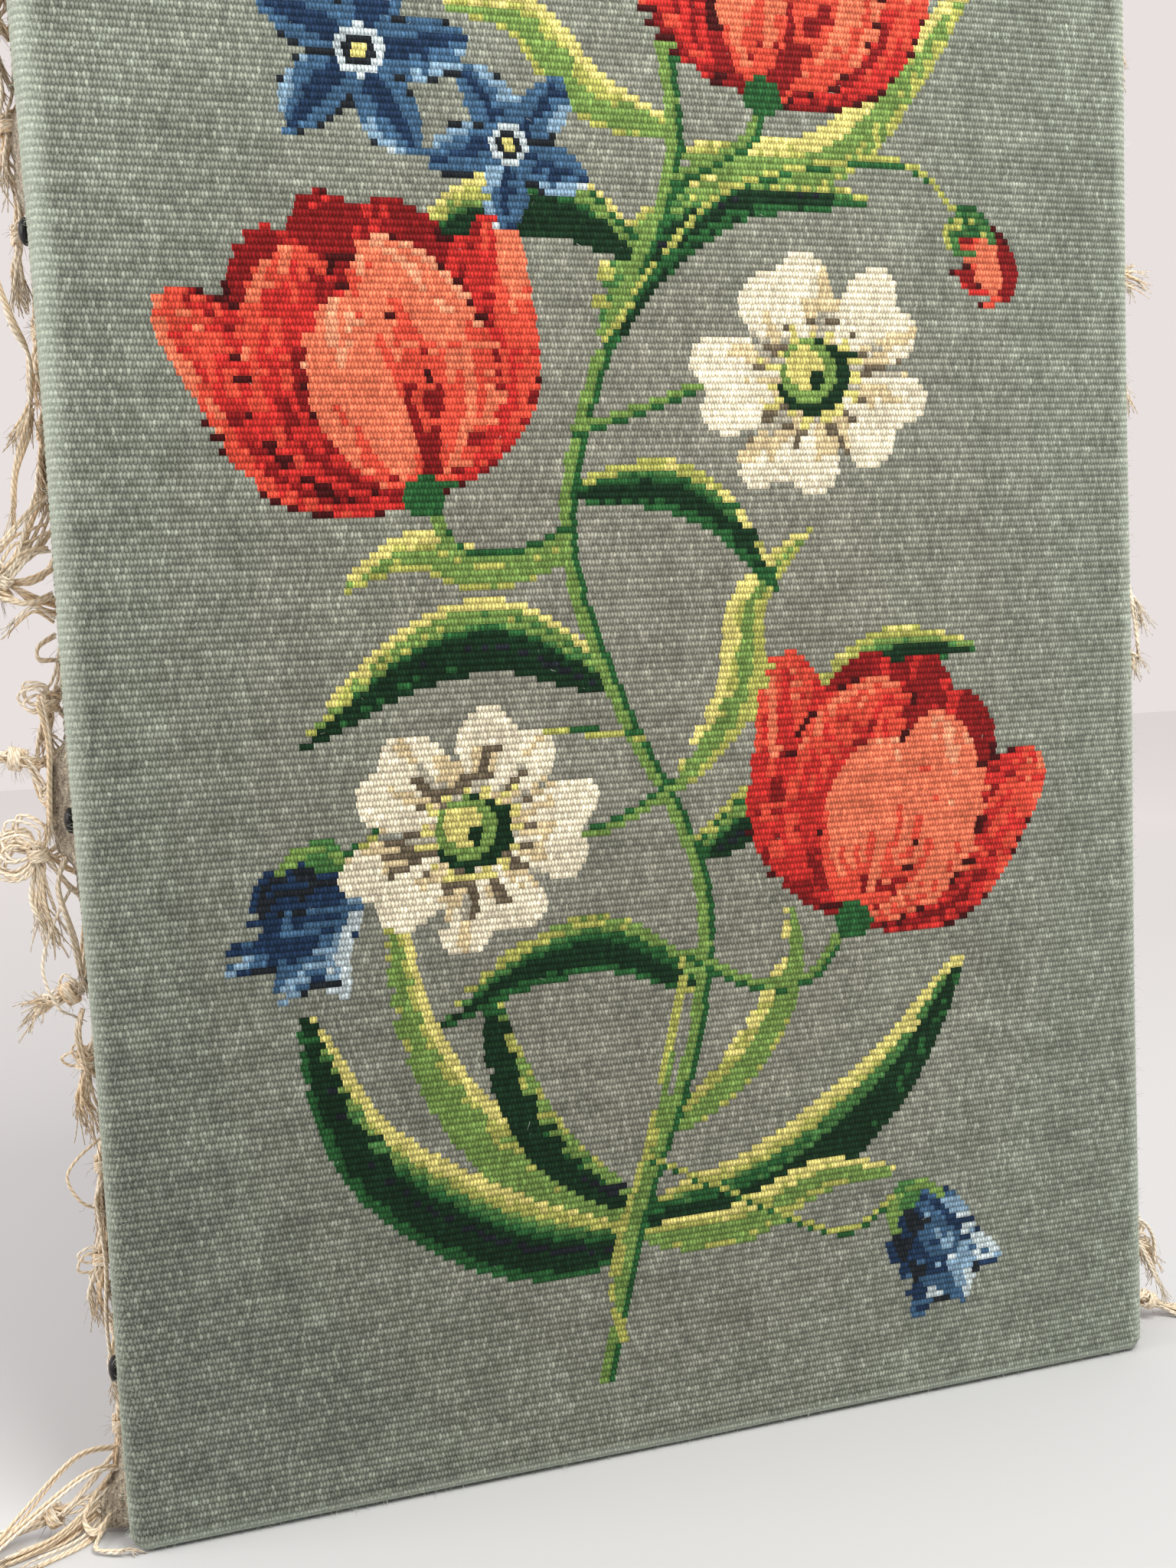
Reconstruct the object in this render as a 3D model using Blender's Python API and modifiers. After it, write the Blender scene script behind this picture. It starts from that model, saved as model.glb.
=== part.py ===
"""A flat-woven wool tapestry, nailed over a plain wooden stretcher frame.

It stands upright on its lower edge and faces -Y; X runs to the viewer's right and Z up.
The origin is in the middle of its flat underside. The warps run across, as ribs of the
cloth, so their cut ends hang in knotted bundles from the left and right edges.
"""

import math

import bmesh
import bpy
from mathutils import Matrix, Vector

MM = 0.001

# Driving sizes
PANEL_WIDTH = 344 * MM
PANEL_HEIGHT = 540 * MM
PANEL_DEPTH = 30 * MM
CLOTH_THICKNESS = 2 * MM
EDGE_RADIUS = 4 * MM
RIB_PITCH = 2 * MM
RIB_RISE = 0.5 * MM
SIDE_FLAP_DEPTH = 13 * MM
BACK_RETURN = 16 * MM
RETURN_CHAMFER = 1.2 * MM
INNER_CHAMFER = 0.3 * MM
CLEARANCE = 0.3 * MM

# How uneven the stretched cloth is
EDGE_WANDER = 0.4 * MM
EDGE_WANDER_LENGTH = 210 * MM
SLACK_SWELL = 1.3 * MM
LOWER_ROLL = 1.2 * MM
LOWER_ROLL_HEIGHT = 16 * MM
LOWER_ROLL_SPREAD = 11 * MM

# How the front is divided
FRONT_COLUMNS = 5
FRONT_ROWS = 13
RIB_FADE = 5 * MM

# Stretcher
BAR_WIDTH = 42 * MM
BAR_ROUNDING = 2 * MM
MITRE_GAP = 0.2 * MM

# Tacks
TACK_RADIUS = 3.8 * MM
TACK_RISE = 2.2 * MM
TACK_SIDES = 10
SIDE_TACK_HEIGHTS = (54 * MM, 216 * MM, 378 * MM, 500 * MM)
SIDE_TACK_DEPTH = 8.6 * MM
BACK_TACK_PLACES = (-120 * MM, 0, 120 * MM)
BACK_TACK_INSET = 9 * MM

# Heading band, woven on past the tapestry's side edges
HEADING_WIDTH = 10 * MM
HEADING_THICKNESS = 1.6 * MM
HEADING_END = 2 * MM

# Warp ends, knotted in bundles
BUNDLE_COUNT = 20
BUNDLE_PITCH = PANEL_HEIGHT / BUNDLE_COUNT
PAIR_OFFSET = 7.5 * MM
PAIR_ROOT = 4 * MM
NECK_LENGTH = 2.5 * MM
NECK_SPACING = 2.0 * MM
NECK_RADIUS = 0.5 * MM
STRAND_RADIUS = 0.65 * MM
KNOT_RADIUS = 0.9 * MM
TIP_RADIUS = 0.45 * MM
KNOT_SPACING = 2.3 * MM
KNOT_LENGTH = 3.5 * MM
TAIL_SPREAD = 5 * MM
TAIL_DEPTH_SPREAD = 4 * MM
LAYER_DEPTHS = (-1 * MM, 4 * MM)
FLOOR_SPREADS = (9 * MM, 3 * MM)

# How far the heading stands out from the side, by height
LEFT_FLARE = (
    # height_mm, outward_mm
    (0, 8.5),
    (30, 8.0),
    (120, 4.5),
    (175, 6.0),
    (205, 8.0),
    (235, 7.5),
    (265, 4.5),
    (300, 4.0),
    (345, 4.5),
    (380, 5.5),
    (420, 6.0),
    (470, 5.0),
    (540, 4.5),
)
RIGHT_FLARE = (
    # height_mm, outward_mm
    (0, 7.5),
    (45, 6.5),
    (110, 4.5),
    (540, 5.0),
)

# The bundles from the lowest up, measured from the heading's outer edge. The lowest lies
# on the surface that the panel stands on.
LEFT_BUNDLES = (
    # knot_out_mm, knot_drop_mm, tail_out_mm, tail_drop_mm
    (16, 7, 58, 20),
    (12, 10, 26, 31),
    (7, 10, 11, 24),
    (9, 8, 18, 24),
    (8, 10, 14, 31),
    (11, 8, 20, 24),
    (12, 12, 17, 34),
    (9, 6, 14, 30),
    (12, 13, 19, 30),
    (18, 8, 34, 24),
    (20, 12, 36, 34),
    (16, 12, 30, 36),
    (15, 10, 26, 31),
    (12, 12, 20, 38),
    (10, 8, 18, 28),
    (13, 6, 26, 20),
    (11, 9, 20, 29),
    (14, 8, 28, 26),
    (11, 10, 19, 31),
    (13, 8, 26, 27),
)
RIGHT_BUNDLES = (
    # knot_out_mm, knot_drop_mm, tail_out_mm, tail_drop_mm
    (10, 6, 30, 18),
    (9, 9, 19, 30),
    (7, 8, 13, 32),
    (8, 10, 16, 28),
    (9, 9, 18, 27),
    (7, 9, 12, 30),
    (8, 8, 15, 33),
    (10, 9, 19, 27),
    (7, 10, 14, 31),
    (9, 8, 17, 25),
    (8, 9, 13, 32),
    (10, 8, 20, 28),
    (8, 10, 15, 30),
    (9, 7, 18, 24),
    (7, 9, 13, 31),
    (9, 8, 18, 29),
    (8, 10, 14, 32),
    (10, 8, 20, 26),
    (8, 9, 15, 30),
    (9, 8, 18, 28),
)

# Worked-out places
FRONT_Y = -PANEL_DEPTH / 2
BACK_Y = PANEL_DEPTH / 2
BORDER_X = PANEL_WIDTH / 2 - EDGE_RADIUS
BORDER_LOW = EDGE_RADIUS
BORDER_HIGH = PANEL_HEIGHT - EDGE_RADIUS
FLAP_STATION = 3


def clear_scene():
    for obj in list(bpy.data.objects):
        bpy.data.objects.remove(obj, do_unlink=True)


def new_collection(name):
    collection = bpy.data.collections.new(name)
    bpy.context.scene.collection.children.link(collection)
    return collection


def new_material(name, colour, roughness, metallic=0.0):
    material = bpy.data.materials.new(name)
    material.use_nodes = True
    shader = material.node_tree.nodes["Principled BSDF"]
    shader.inputs["Base Color"].default_value = (*colour, 1)
    shader.inputs["Roughness"].default_value = roughness
    shader.inputs["Metallic"].default_value = metallic
    return material


def add_part(name, mesh, material, collection):
    mesh.materials.append(material)
    part = bpy.data.objects.new(name, mesh)
    collection.objects.link(part)
    return part


def mesh_from(bm, name):
    bm.normal_update()
    bmesh.ops.recalc_face_normals(bm, faces=bm.faces)
    mesh = bpy.data.meshes.new(name)
    bm.to_mesh(mesh)
    bm.free()
    return mesh


def eased(table, height):
    """Reads a two-column table at a height, with a smooth change between its rows."""
    for (low, before), (high, after) in zip(table, table[1:]):
        if height <= high * MM:
            share = max(0.0, (height / MM - low) / (high - low))
            return MM * (before + (after - before) * (1 - math.cos(math.pi * share)) / 2)
    return MM * table[-1][1]


# Cloth


def edge_wander(height):
    """The side edges stand out a little more here, a little less there."""
    return EDGE_WANDER * (1 + math.sin(math.tau * height / EDGE_WANDER_LENGTH + 0.6))


def swell(x, height):
    """How far the cloth stands in front of its flat plane: slack between the bars, and a roll low down."""
    across = math.cos(math.pi * x / PANEL_WIDTH)
    up = math.sin(math.pi * height / PANEL_HEIGHT)
    slack = SLACK_SWELL * (across * up) ** 2 * (0.7 + 0.3 * math.sin(9 * height / PANEL_HEIGHT + 14 * x))
    from_roll = (height - LOWER_ROLL_HEIGHT) / LOWER_ROLL_SPREAD
    roll = LOWER_ROLL * math.exp(-from_roll * from_roll) * (0.6 + 0.4 * math.cos(31 * x + 0.8))
    return slack + roll * across


def edge_stations(inset):
    """(out, depth) of each fold line from the front's border round to the back return."""
    radius = EDGE_RADIUS - inset
    chamfer = RETURN_CHAMFER if inset == 0 else INNER_CHAMFER
    bend = math.sqrt(0.5)
    return (
        (0, inset),
        (radius * bend, EDGE_RADIUS - radius * bend),
        (radius, EDGE_RADIUS),
        (radius, SIDE_FLAP_DEPTH),
        (radius, PANEL_DEPTH - inset - chamfer),
        (radius - chamfer, PANEL_DEPTH - inset),
        (EDGE_RADIUS - BACK_RETURN, PANEL_DEPTH - inset),
    )


def steps(low, high, count):
    return [low + (high - low) * i / (count - 1) for i in range(count)]


COLUMN_X = steps(-BORDER_X + RIB_FADE, BORDER_X - RIB_FADE, FRONT_COLUMNS)
ROW_Z = steps(BORDER_LOW, BORDER_HIGH, FRONT_ROWS)


def border_posts():
    """The front's border, anticlockwise from the lower left: (x, z, outward x, outward z)."""
    diagonal = math.sqrt(0.5)
    across = [-BORDER_X, *COLUMN_X, BORDER_X]
    posts = [(x, BORDER_LOW, 0, -1) for x in across]
    posts.append((BORDER_X, BORDER_LOW, diagonal, -diagonal))
    posts += [(BORDER_X, z, 1, 0) for z in ROW_Z]
    posts.append((BORDER_X, BORDER_HIGH, diagonal, diagonal))
    posts += [(x, BORDER_HIGH, 0, 1) for x in reversed(across)]
    posts.append((-BORDER_X, BORDER_HIGH, -diagonal, diagonal))
    posts += [(-BORDER_X, z, -1, 0) for z in reversed(ROW_Z)]
    posts.append((-BORDER_X, BORDER_LOW, -diagonal, -diagonal))
    return posts


def add_skin(bm, inset):
    """One side of the cloth: its border, flaps and returns, without the front.

    Gives the border's points by place, and the free edge's points in order.
    """
    posts = border_posts()
    stations = edge_stations(inset)
    border = {}
    lines = []
    for x, z, out_x, out_z in posts:
        long_way = abs(out_z) == 1
        line = []
        for index, (out, depth) in enumerate(stations):
            if index > FLAP_STATION and not long_way:
                break
            wander = edge_wander(z) * abs(out_x) * (index > 0)
            roll = swell(x, z) * max(0.0, 1 - index / FLAP_STATION)
            point = (
                x + out_x * (out + wander),
                FRONT_Y + depth - roll,
                z + out_z * out,
            )
            key = (round(x, 6), round(z, 6))
            if index == 0 and key in border:
                line.append(border[key])
                continue
            vert = bm.verts.new(point)
            line.append(vert)
            if index == 0:
                border[key] = vert
        lines.append(line)
    free_edge = []
    for number, line in enumerate(lines):
        following = lines[(number + 1) % len(lines)]
        for index in range(min(len(line), len(following)) - 1):
            corners = [line[index], line[index + 1], following[index + 1], following[index]]
            corners = list(dict.fromkeys(corners))
            bm.faces.new(corners)
        before = lines[number - 1]
        rising = len(line) > len(before)
        falling = len(line) > len(following)
        if rising:
            free_edge += line[FLAP_STATION:]
        elif falling:
            free_edge += reversed(line[FLAP_STATION:])
        else:
            free_edge.append(line[-1])
    return border, free_edge


def zip_rows(bm, first, second):
    """Fills the strip between two upward rows of points, however many each has."""
    i = j = 0
    while i + 1 < len(first) or j + 1 < len(second):
        climb_first = j + 1 == len(second) or (
            i + 1 < len(first) and first[i + 1].co.z <= second[j + 1].co.z
        )
        if climb_first:
            bm.faces.new((first[i], second[j], first[i + 1]))
            i += 1
        else:
            bm.faces.new((first[i], second[j], second[j + 1]))
            j += 1


def grid_faces(bm, columns):
    for left, right in zip(columns, columns[1:]):
        for low in range(len(left) - 1):
            bm.faces.new((left[low], right[low], right[low + 1], left[low + 1]))


def border_column(border, x):
    return [border[(round(x, 6), round(z, 6))] for z in ROW_Z]


def inner_front(bm, border):
    """The cloth's plain inner face."""
    columns = [border_column(border, -BORDER_X)]
    for x in COLUMN_X:
        column = [border[(round(x, 6), round(BORDER_LOW, 6))]]
        for z in ROW_Z[1:-1]:
            column.append(bm.verts.new((x, FRONT_Y + CLOTH_THICKNESS - swell(x, z), z)))
        column.append(border[(round(x, 6), round(BORDER_HIGH, 6))])
        columns.append(column)
    columns.append(border_column(border, BORDER_X))
    grid_faces(bm, columns)


def ribbed_front(bm, border):
    """The face, where each warp shows as a rib. The ribs die away towards the side edges."""
    rib_count = round((BORDER_HIGH - BORDER_LOW) / RIB_PITCH)
    lines = steps(BORDER_LOW, BORDER_HIGH, 2 * rib_count + 1)
    columns = []
    for x in COLUMN_X:
        column = [border[(round(x, 6), round(BORDER_LOW, 6))]]
        for number, z in enumerate(lines[1:-1], start=1):
            crest = RIB_RISE * (number % 2)
            column.append(bm.verts.new((x, FRONT_Y - swell(x, z) - crest, z)))
        column.append(border[(round(x, 6), round(BORDER_HIGH, 6))])
        columns.append(column)
    grid_faces(bm, columns)
    zip_rows(bm, border_column(border, -BORDER_X), columns[0])
    zip_rows(bm, columns[-1], border_column(border, BORDER_X))


def build_cloth(material, collection):
    bm = bmesh.new()
    outer_border, outer_edge = add_skin(bm, 0)
    inner_border, inner_edge = add_skin(bm, CLOTH_THICKNESS)
    ribbed_front(bm, outer_border)
    inner_front(bm, inner_border)
    for number in range(len(outer_edge)):
        before = number - 1
        rim = (outer_edge[before], outer_edge[number], inner_edge[number], inner_edge[before])
        bm.faces.new(rim)
    return add_part("tapestry_cloth", mesh_from(bm, "tapestry_cloth"), material, collection)


# Stretcher


def build_bar(name, outer, inner, low, high, upright, material, collection):
    """A mitred bar: its long edge at outer, its short one at inner, between low and high."""
    bm = bmesh.new()
    bmesh.ops.create_cube(bm, size=1)
    depth = PANEL_DEPTH - 2 * (CLOTH_THICKNESS + CLEARANCE)
    for vert in bm.verts:
        on_outer = vert.co.x < 0
        across = outer if on_outer else inner
        mitre = MITRE_GAP + (0 if on_outer else abs(outer - inner))
        along = low + mitre if vert.co.z < 0 else high - mitre
        y = math.copysign(depth / 2, vert.co.y)
        vert.co = (across, y, along) if upright else (along, y, across)
    bar = add_part(name, mesh_from(bm, name), material, collection)
    bevel = bar.modifiers.new("rounded_edges", "BEVEL")
    bevel.width = BAR_ROUNDING
    bevel.segments = 2
    bevel.limit_method = "ANGLE"
    return bar


def build_stretcher(material, collection):
    inset = CLOTH_THICKNESS + CLEARANCE
    side = PANEL_WIDTH / 2 - inset
    low = inset
    high = PANEL_HEIGHT - inset
    for word, sign in (("left", -1), ("right", 1)):
        outer = sign * side
        inner = sign * (side - BAR_WIDTH)
        build_bar(f"stretcher_bar_{word}", outer, inner, low, high, True, material, collection)
    for word, outer, inner in (("bottom", low, low + BAR_WIDTH), ("top", high, high - BAR_WIDTH)):
        build_bar(f"stretcher_bar_{word}", outer, inner, -side, side, False, material, collection)


# Tacks


def tack_mesh(material):
    """A domed head, turned about Z with its flat side down."""
    profile = (
        (0, TACK_RISE),
        (0.68 * TACK_RADIUS, 0.74 * TACK_RISE),
        (TACK_RADIUS, 0),
        (0, 0),
    )
    mesh = bpy.data.meshes.new("tack_profile")
    mesh.from_pydata([(r, 0, z) for r, z in profile], [(0, 1), (1, 2), (2, 3)], [])
    mesh.materials.append(material)
    return mesh


def add_tack(name, mesh, place, turn, collection):
    tack = bpy.data.objects.new(name, mesh)
    tack.location = place
    tack.rotation_euler = turn
    screw = tack.modifiers.new("turned_head", "SCREW")
    screw.steps = TACK_SIDES
    screw.render_steps = TACK_SIDES
    screw.use_merge_vertices = True
    screw.merge_threshold = 0.00001
    collection.objects.link(tack)


def build_tacks(material, collection):
    mesh = tack_mesh(material)
    quarter = math.pi / 2
    for word, sign in (("left", -1), ("right", 1)):
        for number, z in enumerate(SIDE_TACK_HEIGHTS, start=1):
            x = sign * (PANEL_WIDTH / 2 + edge_wander(z) + CLEARANCE)
            place = (x, FRONT_Y + SIDE_TACK_DEPTH, z)
            add_tack(f"side_tack_{word}_{number}", mesh, place, (0, sign * quarter, 0), collection)
    for word, z in (("bottom", BACK_TACK_INSET), ("top", PANEL_HEIGHT - BACK_TACK_INSET)):
        for number, x in enumerate(BACK_TACK_PLACES, start=1):
            place = (x, BACK_Y + CLEARANCE, z)
            add_tack(f"back_tack_{word}_{number}", mesh, place, (-quarter, 0, 0), collection)


# Heading bands and warp ends


def heading_ends(side, flare, z):
    """Middle of the heading's near and far edges at a height, and the way between them."""
    near = Vector((
        side * (PANEL_WIDTH / 2 + edge_wander(z) - CLOTH_THICKNESS / 2),
        FRONT_Y + SIDE_FLAP_DEPTH + CLEARANCE,
        z,
    ))
    out = eased(flare, z)
    way = Vector((side * out, math.sqrt(HEADING_WIDTH ** 2 - out ** 2), 0)).normalized()
    return near, near + HEADING_WIDTH * way, way


def bundle_height(number):
    return BUNDLE_PITCH * (number + 0.5)


def heading_rows():
    """(height, bundle and pair that root between this row and the next, or None)."""
    rows = [(HEADING_END, None)]
    for number in range(BUNDLE_COUNT):
        for pair, offset in enumerate((-PAIR_OFFSET, PAIR_OFFSET)):
            middle = bundle_height(number) + offset
            rows.append((middle - PAIR_ROOT / 2, (number, pair)))
            rows.append((middle + PAIR_ROOT / 2, None))
    rows.append((PANEL_HEIGHT - HEADING_END, None))
    return rows


def strand_route(side, root, way, middle, bundle, row, pair, half):
    """(point, radius) of each ring of one warp end after its root."""
    knot_out, knot_drop, tail_out, tail_drop = (MM * size for size in row)
    layer = LAYER_DEPTHS[bundle % 2]
    upper = pair - 0.5
    rear = half - 0.5
    outward = Vector((side, 0, 0))
    knot = middle + outward * knot_out + Vector((0, layer, -knot_drop))
    tail_way = Vector((side * (tail_out - knot_out), 0, knot_drop - tail_drop)).normalized()
    across = Vector((-side * tail_way.z, 0, abs(tail_way.x)))
    place = Vector((0, rear * KNOT_SPACING, 0)) + across * upper * KNOT_SPACING
    off_band = Vector((side * way.y, -side * way.x, 0))
    neck = root + way * NECK_LENGTH - off_band * rear * NECK_SPACING + Vector((0, 0, rear * NECK_SPACING))
    knot_in = knot + place - tail_way * KNOT_LENGTH / 2
    knot_out_point = knot + place + tail_way * KNOT_LENGTH / 2
    end = middle + outward * tail_out + Vector((0, layer, -tail_drop))
    end += across * upper * TAIL_SPREAD + Vector((0, rear * TAIL_DEPTH_SPREAD, 0))
    bend = (knot_out_point + end) / 2 + outward * 0.12 * (end - knot_out_point).length
    if bundle == 0:
        spread = math.copysign(FLOOR_SPREADS[pair], rear)
        end = Vector((end.x, end.y + spread, STRAND_RADIUS))
        bend = Vector(((knot_out_point.x + end.x) / 2, (knot_out_point.y + end.y) / 2, STRAND_RADIUS))
        bend.x = knot_out_point.x + (end.x - knot_out_point.x) * (0.3 + 0.2 * pair)
    return (
        (neck, NECK_RADIUS),
        (knot_in, KNOT_RADIUS),
        (knot_out_point, KNOT_RADIUS),
        (bend, STRAND_RADIUS),
        (end, TIP_RADIUS),
    )


def grow_strand(bm, face, route):
    """Draws a three-sided warp end out of its root, ring by ring."""
    points = [face.calc_center_median()] + [point for point, _ in route]
    for index, (centre, radius) in enumerate(route, start=1):
        face = bmesh.ops.extrude_discrete_faces(bm, faces=[face])["faces"][0]
        arriving = (centre - points[index - 1]).normalized()
        leaving = (points[min(index + 1, len(points) - 1)] - centre).normalized()
        axis = (arriving + leaving).normalized()
        corners = [loop.vert for loop in face.loops]
        turns = [Matrix.Rotation(math.tau * number / 3, 3, axis) for number in range(3)]
        middle = face.calc_center_median()
        first = Vector()
        for vert, turn in zip(corners, turns):
            first += turn.inverted() @ (vert.co - middle).normalized()
        first = (first - axis * first.dot(axis)).normalized() * radius
        for vert, turn in zip(corners, turns):
            vert.co = centre + turn @ first


def build_fringe(name, side, flare, bundles, material, collection):
    bm = bmesh.new()
    rows = heading_rows()
    lines = []
    for z, _ in rows:
        near, far, way = heading_ends(side, flare, z)
        half_near = Vector((side, 0, 0)) * HEADING_THICKNESS / 2
        half_far = Vector((side * way.y, -side * way.x, 0)) * HEADING_THICKNESS / 2
        corners = (near + half_near, near - half_near, far - half_far, far + half_far)
        lines.append([bm.verts.new(corner) for corner in corners])
    roots = []
    for (_, rooted), low, high in zip(rows, lines, lines[1:]):
        for first in range(4):
            second = (first + 1) % 4
            if first == 2 and rooted:
                front = bm.faces.new((low[2], low[3], high[3]))
                rear = bm.faces.new((low[2], high[3], high[2]))
                roots += [(front, rooted, 0), (rear, rooted, 1)]
            else:
                bm.faces.new((low[first], low[second], high[second], high[first]))
    bm.faces.new(lines[0])
    bm.faces.new(reversed(lines[-1]))
    bmesh.ops.recalc_face_normals(bm, faces=bm.faces)
    for face, (bundle, pair), half in roots:
        _, middle, way = heading_ends(side, flare, bundle_height(bundle))
        root = face.calc_center_median()
        route = strand_route(side, root, way, middle, bundle, bundles[bundle], pair, half)
        grow_strand(bm, face, route)
    return add_part(name, mesh_from(bm, name), material, collection)


def build():
    clear_scene()
    collection = new_collection("Tapestry")
    wool = new_material("sage_wool", (0.21, 0.25, 0.20), 0.95)
    cotton = new_material("cotton_warp", (0.62, 0.50, 0.34), 0.9)
    wood = new_material("pine", (0.55, 0.38, 0.21), 0.6)
    steel = new_material("blued_steel", (0.012, 0.012, 0.014), 0.35, 0.9)
    build_cloth(wool, collection)
    build_stretcher(wood, collection)
    build_tacks(steel, collection)
    build_fringe("warp_fringe_left", -1, LEFT_FLARE, LEFT_BUNDLES, cotton, collection)
    build_fringe("warp_fringe_right", 1, RIGHT_FLARE, RIGHT_BUNDLES, cotton, collection)


build()
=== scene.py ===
# %% [markdown]
# # A flat-woven tapestry on its stretcher frame
#
# The real object is a small wall tapestry: wool weft beaten down hard over cotton warps,
# so that only wool shows and each warp is a rib. It was woven sideways, turned upright
# and tacked round a pine stretcher, and its cut warp ends still hang at both sides.
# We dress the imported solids, which give the place and size of every piece.

# %% Load the frame that everything is fitted to
import math

import bpy
import numpy as np
from mathutils import Matrix, Vector


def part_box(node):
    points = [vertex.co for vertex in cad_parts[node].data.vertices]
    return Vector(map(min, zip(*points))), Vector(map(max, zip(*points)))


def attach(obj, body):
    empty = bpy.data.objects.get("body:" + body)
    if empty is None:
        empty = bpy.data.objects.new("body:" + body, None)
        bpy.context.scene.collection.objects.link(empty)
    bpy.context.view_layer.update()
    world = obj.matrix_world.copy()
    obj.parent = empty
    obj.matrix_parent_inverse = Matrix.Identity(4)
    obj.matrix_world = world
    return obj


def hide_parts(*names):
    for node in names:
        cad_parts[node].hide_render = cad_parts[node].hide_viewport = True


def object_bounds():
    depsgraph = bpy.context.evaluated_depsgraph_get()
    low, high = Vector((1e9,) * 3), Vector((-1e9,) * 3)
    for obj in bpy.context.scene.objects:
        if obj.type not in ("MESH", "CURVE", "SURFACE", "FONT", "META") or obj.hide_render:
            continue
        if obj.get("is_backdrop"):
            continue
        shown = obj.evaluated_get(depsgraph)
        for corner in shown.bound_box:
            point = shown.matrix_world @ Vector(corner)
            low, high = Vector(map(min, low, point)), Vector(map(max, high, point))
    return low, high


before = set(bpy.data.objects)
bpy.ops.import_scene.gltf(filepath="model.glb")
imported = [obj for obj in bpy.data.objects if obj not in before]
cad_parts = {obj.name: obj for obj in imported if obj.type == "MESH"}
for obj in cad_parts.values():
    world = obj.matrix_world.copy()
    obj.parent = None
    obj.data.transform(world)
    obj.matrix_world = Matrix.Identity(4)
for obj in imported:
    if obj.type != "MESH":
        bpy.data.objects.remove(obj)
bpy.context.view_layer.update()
MM = 0.001

# %% [markdown]
# ## Sizes
#
# Everything below is worked out in millimetres, as a weaver would note it, and turned to
# metres when a mesh is made. The cloth is thought of as lying flat: `u` runs along the
# warps, from the middle, and `v` runs along the wefts, up from the panel's foot.

# %% Sizes of the stretched cloth
PANEL_WIDTH = 344
PANEL_HEIGHT = 540
PANEL_DEPTH = 30
CLOTH_THICKNESS = 2
FRONT_ROUND = 4  # radius of the cloth over the stretcher's front edges
BACK_ROUND = 2.4  # and over its back edges
FLAP_REACH = 15  # side flap, along the cloth from the start of the front rounding
WRAP_REACH = 48  # top and bottom edges, round to the back
RIB_PITCH = 2
RIB_RISE = 0.5
PICK_COUNT = 320  # weft floats side by side on one rib

FRONT_Y = -PANEL_DEPTH / 2
BORDER_X = PANEL_WIDTH / 2 - FRONT_ROUND
BORDER_LOW = FRONT_ROUND
BORDER_HIGH = PANEL_HEIGHT - FRONT_ROUND
RIB_COUNT = round((BORDER_HIGH - BORDER_LOW) / RIB_PITCH)
WRAP_RIBS = WRAP_REACH // RIB_PITCH
PICK_PITCH = 2 * BORDER_X / PICK_COUNT
print("ribs on the face:", RIB_COUNT, "- one float is", round(PICK_PITCH, 2), "mm wide")

# %% [markdown]
# ## Small helpers
#
# Colours are written as sRGB hex, because that is how a dye chart gives them, and the
# shader wants linear light. One function adds any node with its settings and links.


# %% Colour and node helpers
def linear(hex_colour):
    """A dye's sRGB hex as linear red, green and blue."""
    parts = [int(hex_colour[i:i + 2], 16) / 255 for i in (1, 3, 5)]
    return [p / 12.92 if p <= 0.04045 else ((p + 0.055) / 1.055) ** 2.4 for p in parts]


def rgba(hex_colour):
    return (*linear(hex_colour), 1)


def add(tree, kind, *values, output=0, stops=(), **named):
    """Adds a node and gives one of its outputs.

    kind is the node's type and, after a space, its operation. Values go to its inputs in
    order. A name with a capital is an input too, and any other is a setting. An input takes
    a number, a colour or another node's output. Stops are a ramp's, as (place, sRGB hex).
    """
    kind, _, operation = kind.partition(" ")
    node = tree.nodes.new("ShaderNode" + kind)
    if operation:
        node.operation = operation
    inputs = dict(enumerate(values))
    for name, value in named.items():
        if name[0].isupper():
            inputs[name] = value
        else:
            setattr(node, name, value)
    for name, value in inputs.items():
        socket = node.inputs[name]
        if isinstance(value, bpy.types.NodeSocket):
            tree.links.new(value, socket)
        else:
            socket.default_value = value
    if stops:
        elements = node.color_ramp.elements
        while len(elements) < len(stops):
            elements.new(0.5)
        for element, (place, hex_colour) in zip(elements, stops):
            element.position = place
            element.color = rgba(hex_colour)
    return node.outputs[output]


def new_finish(name, roughness, specular=0.5, sheen=0.0, sheen_tint="#FFFFFF", metallic=0.0):
    """A material with its surface shader, whose colour and bump are linked afterwards."""
    finish = bpy.data.materials.new(name)
    finish.use_nodes = True
    shader = finish.node_tree.nodes["Principled BSDF"]
    shader.inputs["Roughness"].default_value = roughness
    shader.inputs["Specular IOR Level"].default_value = specular
    shader.inputs["Metallic"].default_value = metallic
    shader.inputs["Sheen Weight"].default_value = sheen
    shader.inputs["Sheen Roughness"].default_value = 0.5
    shader.inputs["Sheen Tint"].default_value = rgba(sheen_tint)
    return finish, finish.node_tree, shader


# %% [markdown]
# ## The camera
#
# It stands close to the left of the panel and a little below its middle, turned towards
# the right, so the face runs away from it. Its place was fitted to the rib spacing.

# %% Camera at the photograph's viewpoint
CAMERA_PLACE = Vector((-0.1487, -0.4514, 0.2590))
CAMERA_WAY = Vector((0.2754, 0.9567, -0.0939)).normalized()
CAMERA_UP = Vector((0.0719, 0.0769, 0.9944))
CAMERA_LENS = 34.3

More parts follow.
